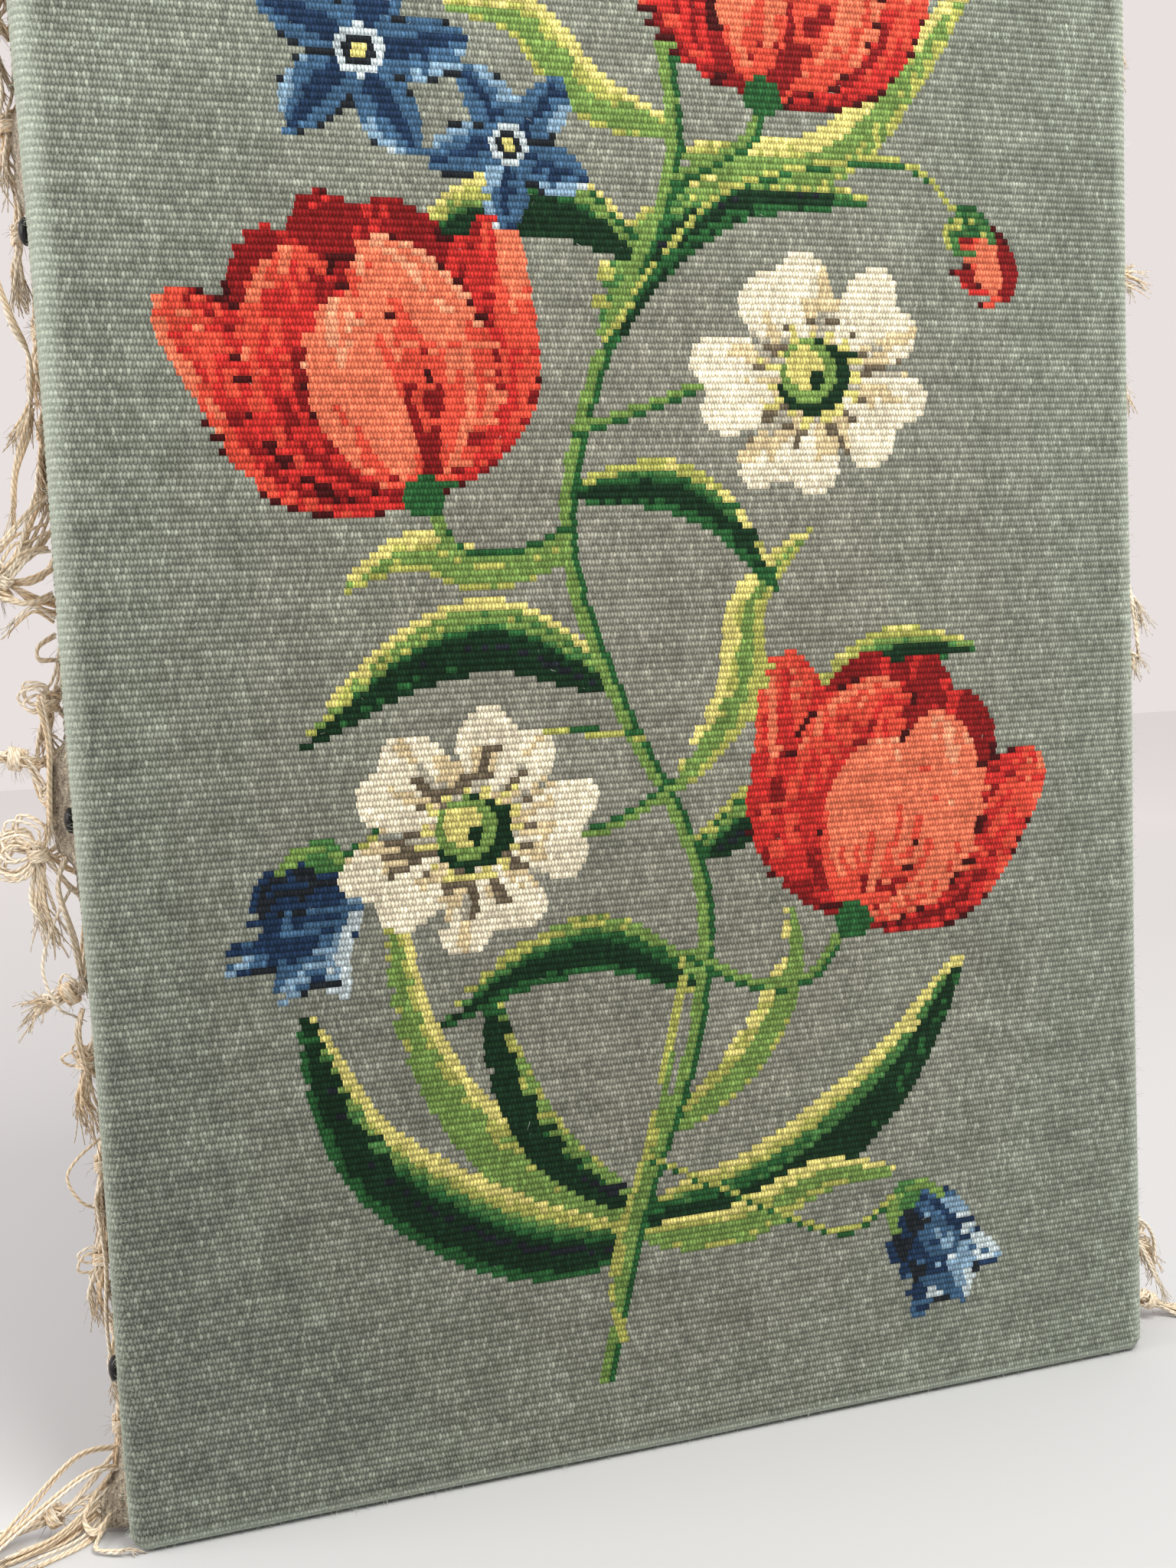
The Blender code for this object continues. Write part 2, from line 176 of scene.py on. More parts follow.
camera = bpy.data.objects.new("camera", bpy.data.cameras.new("camera"))
bpy.context.scene.collection.objects.link(camera)
camera_right = CAMERA_WAY.cross(CAMERA_UP).normalized()
camera_top = camera_right.cross(CAMERA_WAY)
camera.matrix_world = Matrix((
    (camera_right.x, camera_top.x, -CAMERA_WAY.x, CAMERA_PLACE.x),
    (camera_right.y, camera_top.y, -CAMERA_WAY.y, CAMERA_PLACE.y),
    (camera_right.z, camera_top.z, -CAMERA_WAY.z, CAMERA_PLACE.z),
    (0, 0, 0, 1),
))
camera.data.lens = CAMERA_LENS
camera.data.sensor_width = 36
camera.data.clip_start = 0.01
bpy.context.scene.camera = camera
print("camera looks along", [round(x, 3) for x in CAMERA_WAY])

# %% [markdown]
# ## Studio
#
# Daylight falls from a window high in front, so the panel's top is the brightest. A weaker
# one beside the panel lights its left edge and the warp ends there, not the face. The wall
# behind and the ceiling are pale and the room in front is dimmer. The card on the floor is
# whiter further off, where less light falls, so that it meets the wall without a hard line.
# The colours are shown as they are, without a film look.


# %% Floor, lights and surround
def add_softbox(name, place, target, size, power, hex_colour):
    lamp = bpy.data.lights.new(name, "AREA")
    lamp.shape = "SQUARE"
    lamp.size = size
    lamp.energy = power
    lamp.color = linear(hex_colour)
    softbox = bpy.data.objects.new(name, lamp)
    softbox.location = place
    softbox.rotation_euler = (Vector(target) - Vector(place)).to_track_quat("-Z", "Y").to_euler()
    bpy.context.scene.collection.objects.link(softbox)


bpy.context.scene.view_settings.view_transform = "Standard"
FLOOR_SIZE = 6.0
bpy.ops.mesh.primitive_plane_add(size=FLOOR_SIZE, location=(0, 0, 0))
floor = bpy.context.object
floor.name = "studio_floor"
paper, paper_tree, paper_shader = new_finish("white_card_floor", roughness=0.9, specular=0.2)
floor_place = add(paper_tree, "TexCoord", output="Object")
from_panel = add(paper_tree, "VectorMath LENGTH", floor_place, output="Value")
far_share = add(paper_tree, "MapRange", from_panel, 0.2, 1.6)
whiter = add(paper_tree, "Mix", Factor=far_share, A=rgba("#BFBFC1"), B=rgba("#EEE9E8"), data_type="RGBA",
             output="Result")
paper_tree.links.new(whiter, paper_shader.inputs["Base Color"])
floor.data.materials.append(paper)
floor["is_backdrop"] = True

world = bpy.data.worlds.new("pale_wall_and_dimmer_room")
world.use_nodes = True
room = world.node_tree
looking = add(room, "SeparateXYZ", add(room, "TexCoord", output="Generated")).node.outputs
wall_share = add(room, "MapRange", looking["Y"], -0.35, 0.45)
walls = add(room, "Mix", Factor=wall_share, A=rgba("#97989A"), B=rgba("#E9E1DF"), data_type="RGBA",
            output="Result")
ceiling_share = add(room, "MapRange", looking["Z"], 0.4, 0.75)
inside = add(room, "Mix", Factor=ceiling_share, A=walls, B=rgba("#FBF9F8"), data_type="RGBA",
             output="Result")
room.links.new(inside, room.nodes["Background"].inputs["Color"])
bpy.context.scene.world = world

add_softbox("window_high", (0.19, -0.52, 0.97), (0.14, 0, 0.48), 0.42, 11, "#FFFEF8")
add_softbox("window_beside", (-0.95, -0.02, 0.55), (-0.17, 0, 0.27), 0.5, 5, "#FFFBF6")

# %% [markdown]
# ## The woven picture
#
# A tapestry weaver changes colour float by float, so a slanting line climbs in steps as
# high as one rib and as wide as one float. We draw the picture the same way, on a grid
# with one cell for each float, and never smooth it. Shades meet in hatching: the weaver
# lets fingers of one wool run into the next. The design is our own and of a usual kind:
# a winding stem with tulips, wild roses, bellflowers, star flowers, buds and leaves.

# %% The dyed wools
WOOLS = {
    "ground": "#8B8C80",
    "maroon": "#430B0E",
    "crimson": "#86181A",
    "scarlet": "#C42E2A",
    "vermilion": "#DE4D3A",
    "coral": "#EC7858",
    "salmon": "#F09A76",
    "cream": "#F4E8CC",
    "straw": "#DCC69C",
    "ash": "#B4AD9A",
    "umber": "#6E6250",
    "ink": "#1D2228",
    "navy": "#1E3350",
    "azure": "#40607F",
    "sky": "#86A4BC",
    "frost": "#C6D2D6",
    "pine": "#14301C",
    "leaf": "#285A30",
    "jade": "#47753F",
    "moss": "#75934C",
    "lime": "#AFB05C",
    "gold": "#DFD37E",
}
WOOL_NAMES = list(WOOLS)
WOOL_COLOURS = np.array([linear(h) for h in WOOLS.values()], np.float32)

# %% The grid of floats, in mm from the panel's lower left corner
row_number = np.arange(RIB_COUNT)[:, None]
pick_number = np.arange(PICK_COUNT + 1)[None, :]
stagger = (row_number % 2) / 2
PICTURE_X = PANEL_WIDTH / 2 - BORDER_X + (pick_number - stagger + 0.5) * PICK_PITCH
PICTURE_Z = BORDER_LOW + (row_number + 0.5) * RIB_PITCH + 0 * pick_number
picture = np.zeros(PICTURE_X.shape, int)
FINGER_PICKS = 5
finger = np.abs((pick_number + 2 * (row_number // 9)) % FINGER_PICKS / FINGER_PICKS * 2 - 1)
print("cells in the picture:", picture.size)


# %% Drawing helpers: each fills cells of the grid
def dye(where, name):
    picture[where] = WOOL_NAMES.index(name)


def shade(where, tone, names, fingers=0.5):
    """Fills cells with a row of wools, by a tone from 0 to 1 that is hatched where they meet."""
    level = tone * len(names) + (finger - 0.5) * fingers
    level = np.clip(np.floor(level), 0, len(names) - 1).astype(int)
    picture[where] = np.array([WOOL_NAMES.index(n) for n in names])[level[where]]


def streaks(across, seed):
    """A steady random number, from -1 to 1, for each strip one unit wide."""
    lots = np.random.default_rng(seed).uniform(-1, 1, 97)
    return lots[np.floor(across).astype(int) % 97]


def placed(points, base, lean, size):
    """Moves a motif's points to its base on the panel, turned clockwise from upright."""
    angle = math.radians(lean)
    return [(base[0] + size * (x * math.cos(angle) + y * math.sin(angle)),
             base[1] + size * (y * math.cos(angle) - x * math.sin(angle))) for x, y in points]


def curve_through(points, samples):
    """A smooth line through points, in as many even steps."""
    knots = np.array(points, float)
    t = np.linspace(0, len(knots) - 1, samples)
    i = np.minimum(t.astype(int), len(knots) - 2)
    f = (t - i)[:, None]
    before = knots[np.maximum(i - 1, 0)]
    after = knots[np.minimum(i + 2, len(knots) - 1)]
    a, b = knots[i], knots[i + 1]
    return 0.5 * (2 * a + (b - before) * f + (2 * before - 5 * a + 4 * b - after) * f ** 2
                  + (3 * a - before - 3 * b + after) * f ** 3)


def along_curve(points, reach, samples=36):
    """(distance, signed side, share of the way) of each cell near a curve through points."""
    line = curve_through(points, samples)
    distance = np.full(picture.shape, 1e9)
    side = np.zeros(picture.shape)
    share = np.zeros(picture.shape)
    low, high = line.min(axis=0) - reach, line.max(axis=0) + reach
    rows = np.flatnonzero((PICTURE_Z[:, 0] > low[1]) & (PICTURE_Z[:, 0] < high[1]))
    picks = np.flatnonzero((PICTURE_X[0] > low[0] - 1) & (PICTURE_X[0] < high[0] + 1))
    if not len(rows) or not len(picks):
        return distance, side, share
    window = (slice(rows[0], rows[-1] + 1), slice(picks[0], picks[-1] + 1))
    x, z = PICTURE_X[window], PICTURE_Z[window]
    for number in range(samples - 1):
        start, way = line[number], line[number + 1] - line[number]
        length = max(np.hypot(*way), 1e-6)
        dx, dz = x - start[0], z - start[1]
        on = np.clip((dx * way[0] + dz * way[1]) / length ** 2, 0, 1)
        gap = np.hypot(dx - on * way[0], dz - on * way[1])
        nearer = gap < distance[window]
        distance[window] = np.where(nearer, gap, distance[window])
        side[window] = np.where(nearer, (dx * way[1] - dz * way[0]) / length, side[window])
        share[window] = np.where(nearer, (number + on) / (samples - 1), share[window])
    return distance, side, share


def blade(points, width, widest=0.5, blunt=0.75):
    """A petal's or leaf's cells, with reach from -1 to 1 across it and share from 0 to 1 along it."""
    distance, side, share = along_curve(points, width)
    swelled = share ** (math.log(0.5) / math.log(widest))
    half = width / 2 * np.sin(math.pi * np.clip(swelled, 0, 1)) ** blunt + 1e-6
    inside = (distance < half) & (share > 0.004) & (share < 0.996)
    return inside, side / half, share


# %% Stems and leaves
def stem(points, width, light, dark):
    """A stem, lit on one side."""
    distance, side, share = along_curve(points, width)
    dye(distance < width / 2, dark)
    dye((distance < width / 2) & (side < 0.12 * width), light)


def leaf(points, width, lit_side, wools, seed):
    """A pointed leaf: a dark half, a lit half that lightens to its edge, and a vein."""
    dark, lit = wools
    inside, reach, share = blade(points, width, 0.42, 0.8)
    across = np.abs(reach)
    grain = streaks(reach * 4 + 20, seed) * 0.22
    shade(inside, np.clip(0.25 + 0.55 * across + grain + 0.25 * (share - 0.5), 0, 0.99), dark, 0.7)
    on_lit = inside & (reach * lit_side > 0.05)
    shade(on_lit, np.clip(0.05 + 0.8 * across + grain + 0.3 * (share - 0.4), 0, 0.99), lit, 0.9)
    dye(inside & (across < 0.1) & (share > 0.08) & (share < 0.8), dark[1])


# %% Flowers
REDS_DEEP = ("maroon", "maroon", "crimson", "crimson", "scarlet")
REDS_MIDDLE = ("maroon", "crimson", "scarlet", "vermilion", "coral")
REDS_BRIGHT = ("crimson", "vermilion", "coral", "coral", "salmon")


def petal(points, width, wools, seed, widest=0.55, start=0.15, along=0.6, side=0.0, rim="maroon"):
    blunt = 0.62
    around, _, _ = blade(points, width + 2.4, widest, blunt)
    dye(around, rim)
    inside, reach, share = blade(points, width, widest, blunt)
    tone = start + along * share + side * reach + 0.2 * streaks(reach * 4.5 + 30, seed)
    shade(inside, np.clip(tone, 0, 0.99), wools, 1.1)


TULIP_PETALS = (
    # points across and along, width, wools, side light
    (((0.02, 0.1), (0.03, 0.6), (0.02, 1.04)), 0.40, REDS_DEEP, 0.0),
    (((-0.04, 0.05), (-0.19, 0.5), (-0.17, 0.99)), 0.40, REDS_DEEP, 0.2),
    (((0.05, 0.05), (0.22, 0.5), (0.22, 0.95)), 0.40, REDS_DEEP, -0.2),
    (((-0.03, 0.0), (-0.34, 0.24), (-0.42, 0.6), (-0.56, 0.9)), 0.34, REDS_MIDDLE, -0.25),
    (((0.03, 0.0), (0.33, 0.2), (0.45, 0.52), (0.60, 0.80)), 0.34, REDS_MIDDLE, 0.25),
    (((-0.02, 0.0), (-0.21, 0.3), (-0.19, 0.62), (-0.08, 0.90)), 0.42, REDS_MIDDLE, -0.2),
    (((0.02, 0.0), (0.20, 0.28), (0.19, 0.58), (0.12, 0.84)), 0.40, REDS_BRIGHT, 0.2),
    (((0.0, 0.0), (-0.03, 0.34), (-0.03, 0.70)), 0.40, REDS_BRIGHT, -0.1),
)


def tulip(base, lean, size, seed=0):
    for number, (points, width, wools, side) in enumerate(TULIP_PETALS):
        petal(placed(points, base, lean, size), width * size, wools, seed + number, side=side)
    cup, _, _ = blade(placed(((0, -0.07), (0, 0.06)), base, lean, size), 0.15 * size, 0.5, 0.5)
    dye(cup, "leaf")


def wild_rose(middle, turn, size, squash=0.88, tilt=25, seed=0):
    """Five broad notched petals seen face on, with a golden heart."""
    dx, dz = PICTURE_X - middle[0], PICTURE_Z - middle[1]
    c, s = math.cos(math.radians(tilt)), math.sin(math.radians(tilt))
    long, short = dx * c + dz * s, (dz * c - dx * s) / squash
    radius = np.hypot(long, short)
    angle = np.arctan2(long, short) - math.radians(turn)
    number = np.floor(angle / math.tau * 5) % 5
    petal_place = angle / math.tau * 5 % 1
    off_axis = np.abs(petal_place - 0.5) * 2
    lobe = np.sqrt(np.clip(1 - off_axis ** 3.4, 0, 1))
    notch = 0.11 * np.exp(-(off_axis / 0.22) ** 2)
    wave = 0.05 * np.sin(5 * angle + number)
    outline = size / 2 * (0.40 + 0.60 * lobe - notch + wave)
    inside = radius < outline
    reach = radius / outline
    ray = streaks(angle * 9 + 60, seed)
    tone = 0.34 + 0.62 * reach - 0.45 * (off_axis > 0.86) + 0.24 * ray - 0.16 * (petal_place > 0.66)
    shade(inside, np.clip(tone, 0, 0.99), ("umber", "ash", "straw", "cream", "cream"), 0.5)
    dye(inside & (off_axis > 0.95) & (reach > 0.3) & (reach < 0.97), "umber")
    dye(inside & (ray > 0.72) & (reach > 0.28) & (reach < 0.7) & (off_axis < 0.7), "umber")
    ring = radius / size
    dye((ring > 0.15) & (ring < 0.22 + 0.03 * np.sin(angle * 7)) & (np.sin(angle * 15) > 0.2), "gold")
    dye((ring > 0.2) & (ring < 0.25) & (np.sin(angle * 15 + 0.4) > 0.75), "umber")
    dye(ring < 0.15, "pine")
    dye(np.hypot(dx + 0.02 * size, dz - 0.02 * size) < 0.115 * size, "moss")
    dye(np.hypot(dx + 0.035 * size, dz - 0.035 * size) < 0.075 * size, "gold")
    dye(np.hypot(dx - 0.01 * size, dz + 0.01 * size) < 0.03 * size, "pine")


def bellflower(top, lean, size, seed=0):
    """A hanging bell: its three lobes turn outwards at the mouth."""
    blues = ("ink", "navy", "azure", "sky", "frost")
    back, _, _ = blade(placed(((-0.30, 0.82), (0.0, 0.9), (0.30, 0.82)), top, lean, size), 0.26 * size)
    dye(back, "ink")
    for number, (points, width, light) in enumerate((
            (((-0.02, 0.0), (-0.20, 0.30), (-0.22, 0.66), (-0.44, 0.98)), 0.30, 0.35),
            (((0.02, 0.0), (0.20, 0.30), (0.22, 0.66), (0.44, 0.98)), 0.30, 0.05),
            (((0.0, 0.0), (0.0, 0.40), (0.0, 0.75), (0.02, 1.10)), 0.42, 0.22))):
        petal(placed(points, top, lean, size), width * size, blues, seed + number, widest=0.5,
              start=light, along=0.55, side=-0.18, rim="navy")
    cap, _, _ = blade(placed(((0, -0.10), (0, 0.14)), top, lean, size), 0.26 * size, 0.5, 0.5)
    dye(cap, "jade")
    for sign in (-1, 1):
        points = placed(((0, -0.02), (sign * 0.18, 0.06), (sign * 0.27, 0.26)), top, lean, size)
        sepal, _, _ = blade(points, 0.09 * size)
        dye(sepal, "moss")


def star_flower(middle, turn, size, seed=0):
    """Five narrow pointed petals round a pale eye."""
    blues = ("navy", "navy", "azure", "azure", "sky", "frost")
    for number in range(5):
        tips = placed(((0.0, 0.03), (0.03, 0.27), (0.0, 0.52)), middle, turn + 72 * number, size)
        around, _, _ = blade(tips, 0.31 * size, 0.5, 0.9)
        dye(around, "ink")
        inside, reach, share = blade(tips, 0.27 * size, 0.5, 0.9)
        tone = 0.12 + 0.45 * np.abs(reach) + 0.38 * (reach > 0.1) * share
        tone += 0.16 * streaks(reach * 4 + 20, seed)
        shade(inside, np.clip(tone, 0, 0.99), blues, 0.9)
    distance = np.hypot(PICTURE_X - middle[0], PICTURE_Z - middle[1])
    dye(distance < 0.115 * size, "frost")
    dye(distance < 0.075 * size, "ink")
    dye(distance < 0.04 * size, "gold")


def bud(base, lean, size, seed=0):
    for points, width, wools in (
            (((0.0, 0.0), (-0.14, 0.5), (-0.06, 1.0)), 0.36, REDS_DEEP),
            (((0.0, 0.0), (0.15, 0.45), (0.09, 0.96)), 0.36, REDS_MIDDLE),
            (((0.0, 0.0), (0.0, 0.4), (0.02, 0.86)), 0.34, REDS_BRIGHT)):
        petal(placed(points, base, lean, size), width * size, wools, seed)
    for points in (((0.0, -0.08), (-0.17, 0.14), (-0.20, 0.52)), ((0.0, -0.08), (0.17, 0.14), (0.22, 0.46)),
                   ((0, -0.1), (0.0, 0.12), (0.02, 0.36))):
        inside, reach, share = blade(placed(points, base, lean, size), 0.17 * size, 0.45)
        shade(inside, np.clip(0.5 + 0.4 * reach, 0, 0.99), ("leaf", "jade", "lime"))


# %% Compose the spray, from the pieces furthest back to those in front
MAIN_STEM = ((146, 28), (160, 80), (180, 134), (184, 186), (160, 240), (146, 292), (160, 346), (184, 398),
             (180, 448), (160, 500))
BROAD = (("ink", "pine", "pine", "leaf"), ("leaf", "jade", "moss", "lime", "gold"))
GRASS = (("moss", "moss", "lime"), ("moss", "lime", "gold", "gold"))
LEAVES = (
    # points, width, the side that is lit, wools
    (((158, 76), (124, 96), (94, 140), (86, 196)), 17, 1, GRASS),
    (((158, 70), (118, 78), (76, 110), (58, 158)), 27, 1, BROAD),
    (((160, 80), (132, 104), (118, 134), (116, 160)), 15, 1, BROAD),
    (((160, 78), (204, 84), (246, 112), (276, 152)), 26, -1, BROAD),
    (((158, 72), (190, 70), (222, 82), (250, 80)), 14, -1, GRASS),
    (((170, 104), (196, 124), (212, 150), (214, 176)), 14, -1, GRASS),
    (((182, 150), (154, 166), (126, 162), (98, 146)), 18, 1, BROAD),
    (((184, 190), (214, 214), (246, 250), (284, 252)), 20, -1, BROAD),
    (((176, 212), (198, 240), (204, 270), (226, 292)), 15, -1, GRASS),
    (((156, 246), (126, 262), (96, 256), (62, 232)), 22, 1, BROAD),
    (((146, 286), (120, 282), (98, 288), (76, 276)), 13, 1, GRASS),
    (((148, 304), (176, 306), (196, 296), (214, 272)), 16, -1, BROAD),
    (((160, 346), (172, 372), (204, 392), (250, 392)), 20, -1, BROAD),
    (((186, 404), (232, 404), (262, 430), (290, 466)), 17, -1, GRASS),
    (((172, 374), (148, 388), (120, 384), (96, 364)), 20, 1, BROAD),
    (((184, 410), (158, 420), (140, 440), (116, 442)), 16, 1, GRASS),
    (((182, 440), (206, 470), (246, 500), (280, 496)), 22, -1, BROAD),
    (((178, 452), (150, 470), (132, 496), (100, 500)), 20, 1, BROAD),
)
STEMS = (
    # points, width, lit wool, shaded wool
    (MAIN_STEM, 5.4, "moss", "leaf"),
    (((152, 40), (150, 62), (166, 110), (178, 160)), 3.2, "lime", "moss"),
    (((180, 160), (202, 148), (222, 150), (234, 168)), 4.2, "moss", "leaf"),
    (((176, 214), (158, 204), (138, 200), (118, 204)), 3.6, "moss", "leaf"),
    (((146, 292), (130, 286), (112, 288), (104, 306)), 4.2, "moss", "leaf"),
    (((150, 322), (176, 330), (202, 340), (222, 344)), 3.6, "moss", "leaf"),
    (((172, 376), (150, 398), (122, 424), (98, 430)), 3.4, "moss", "leaf"),
    (((184, 396), (198, 402), (210, 410), (214, 424)), 4.2, "moss", "leaf"),
    (((183, 196), (220, 226), (252, 232), (274, 220)), 2.8, "lime", "leaf"),
    (((166, 230), (130, 232), (96, 214), (74, 200)), 2.6, "lime", "leaf"),
    (((160, 348), (200, 392), (258, 404), (280, 388)), 2.6, "lime", "leaf"),
    (((164, 96), (196, 78), (228, 62), (246, 70)), 2.6, "lime", "leaf"),
)
for number, (points, width, lit_side, wools) in enumerate(LEAVES, 1):
    leaf(points, width, lit_side, wools, number)
for points, width, light, dark in STEMS:
    stem(points, width, light, dark)
bellflower((252, 72), 152, 42, 74)
bellflower((68, 202), 200, 42, 75)
bud((274, 220), 150, 34, 81)
bud((280, 389), 150, 32, 82)
tulip((236, 166), 18, 86, 11)
tulip((103, 304), -20, 86, 21)
tulip((214, 422), 10, 84, 31)
star_flower((92, 428), 8, 62, 71)
star_flower((134, 404), 40, 50, 72)
wild_rose((112, 204), 12, 82, seed=41)
wild_rose((228, 338), 40, 84, seed=42)


# %% No weaver turns a wool round one warp alone: the shortest run is two floats
def longest_runs(wools, least):
    """Merges runs shorter than that into the run before them."""
    wools = wools.copy()
    starts = [0, *(np.flatnonzero(wools[1:] != wools[:-1]) + 1), len(wools)]
    for first, last in zip(starts, starts[1:]):
        if last - first < least and first > 0:
            wools[first:last] = wools[first - 1]
    return wools


for row in range(RIB_COUNT):
    picture[row] = longest_runs(picture[row], 2)
print("floats that aren't ground:", int((picture > 0).sum()))

# %% [markdown]
# ## The cloth as a mesh
#
# The face has 266 ribs. A grid with a column for every float would be far too heavy, so
# each rib gets a column only where its colour changes and at a few even steps between.
# The same rows of ribs go on round the top and bottom, and the same columns go on round
# the sides, so one rule builds the face, the flaps and the turned edges. Neighbouring
# ribs share the points of the valley between them, which keeps the sheet whole.

# %% How uneven the stretched cloth is, in mm
EDGE_WANDER = 0.4
EDGE_WANDER_LENGTH = 210
SLACK_SWELL = 1.3
LOWER_ROLL = 1.2
LOWER_ROLL_HEIGHT = 16
LOWER_ROLL_SPREAD = 11
FOOT_WAVE = 0.15  # the cloth's lowest fold isn't quite straight
QUARTER = math.pi / 2
FRONT_ARC = FRONT_ROUND * QUARTER
BACK_ARC = BACK_ROUND * QUARTER


def edge_wander(v):
    """How far past its straight line the cloth's side edge stands."""
    return EDGE_WANDER * (1 + math.sin(math.tau * v / EDGE_WANDER_LENGTH + 0.6))


def swell(u, v):
    """How far the cloth stands in front of its flat plane."""
    across = math.cos(math.pi * u / PANEL_WIDTH)
    up = math.sin(math.pi * v / PANEL_HEIGHT)
    slack = SLACK_SWELL * (across * up) ** 2 * (0.7 + 0.3 * math.sin(9 * v / PANEL_HEIGHT + 0.014 * u))
    from_roll = (v - LOWER_ROLL_HEIGHT) / LOWER_ROLL_SPREAD
    roll = LOWER_ROLL * math.exp(-from_roll * from_roll) * (0.6 + 0.4 * math.cos(0.031 * u + 0.8))
    return slack + roll * across


def fold(reach, inset):
    """(out, depth, way out, way forward) of the cloth at that reach past the face's border."""
    radius = FRONT_ROUND - inset
    back_radius = BACK_ROUND - inset
    straight = PANEL_DEPTH - FRONT_ROUND - BACK_ROUND
    if reach <= FRONT_ARC:
        turn = reach / FRONT_ROUND
        return radius * math.sin(turn), FRONT_ROUND - radius * math.cos(turn), math.sin(turn), math.cos(turn)
    if reach <= FRONT_ARC + straight:
        return radius, FRONT_ROUND + reach - FRONT_ARC, 1, 0
    if reach <= FRONT_ARC + straight + BACK_ARC:
        turn = (reach - FRONT_ARC - straight) / BACK_ROUND
        out = FRONT_ROUND - BACK_ROUND + back_radius * math.cos(turn)
        return out, PANEL_DEPTH - BACK_ROUND + back_radius * math.sin(turn), math.cos(turn), -math.sin(turn)
    beyond = reach - FRONT_ARC - straight - BACK_ARC
    return FRONT_ROUND - BACK_ROUND - beyond, PANEL_DEPTH - inset, 0, -1


def cloth_point(u, v, inset, rise):
    """Place in metres of a point of the flat cloth once it is stretched; rise lifts it off its surface."""
    x = min(max(u, -BORDER_X), BORDER_X)
    z = min(max(v, BORDER_LOW), BORDER_HIGH)
    reach = math.hypot(u - x, v - z)
    out_x, out_z = ((u - x) / reach, (v - z) / reach) if reach else (0, 0)
    out, depth, way_out, forward = fold(reach, inset)
    if out_z < 0:
        out *= 1 - FOOT_WAVE * (0.5 - 0.5 * math.cos(0.083 * x + 1.1 * math.sin(0.021 * x)))
    ease = min(1, reach / FRONT_ARC)
    wander = edge_wander(z) * abs(out_x) * ease
    roll = swell(x, z) * max(0, 1 - reach / FLAP_REACH)
    lift = rise - (RIB_RISE * ease if inset == 0 else 0)
    return (
        (x + out_x * (out + wander + lift * way_out)) * MM,
        (FRONT_Y + depth - roll - lift * forward) * MM,
        (z + out_z * (out + lift * way_out)) * MM,
    )


print("swell at the middle, mm:", round(swell(0, PANEL_HEIGHT / 2), 2))

# %% Where the columns of each rib stand
EVEN_STEPS = 8
FLAP_STEPS = (0.9, 1.9, 3.0, 4.3, FRONT_ARC, FLAP_REACH)
even_columns = [-BORDER_X + 2 * BORDER_X * i / EVEN_STEPS for i in range(EVEN_STEPS + 1)]


def rib_columns(rib, least):
    """Sorted columns of a rib, and the wool of the run that starts at each."""
    changes = {}
    if 0 <= rib < RIB_COUNT:
        wools = longest_runs(picture[rib], least)
        half = (rib % 2) / 2
        for pick in np.flatnonzero(wools[1:] != wools[:-1]) + 1:
            changes[round(-BORDER_X + (pick - half) * PICK_PITCH, 3)] = int(wools[pick])
    marks = set(changes)
    for u in even_columns:
        if all(abs(u - c) > 2 for c in changes):
            marks.add(round(u, 3))
    marks |= {-BORDER_X, BORDER_X}
    if 0 <= rib < RIB_COUNT:
        marks |= {round(sign * (BORDER_X + s), 3) for s in FLAP_STEPS for sign in (-1, 1)}
    columns = sorted(marks)
    runs = []
    wool = 0
    for u in columns:
        wool = changes.get(u, wool)
        runs.append(wool)
    return columns, runs


all_ribs = range(-WRAP_RIBS, RIB_COUNT + WRAP_RIBS)
front_columns = {rib: rib_columns(rib, 1) for rib in all_ribs}
back_columns = {rib: rib_columns(rib, 3) for rib in all_ribs}  # the back shows little, so it is simpler
print("runs of colour on the face:", sum(len(front_columns[r][0]) for r in range(RIB_COUNT)))

# %% [markdown]
# The sheet's two sides are built by the same class. The outer side has two shoulders to
# each rib, which smooth shading rounds. The inner side shows only through the back of the
# stretcher and has a low crest alone.


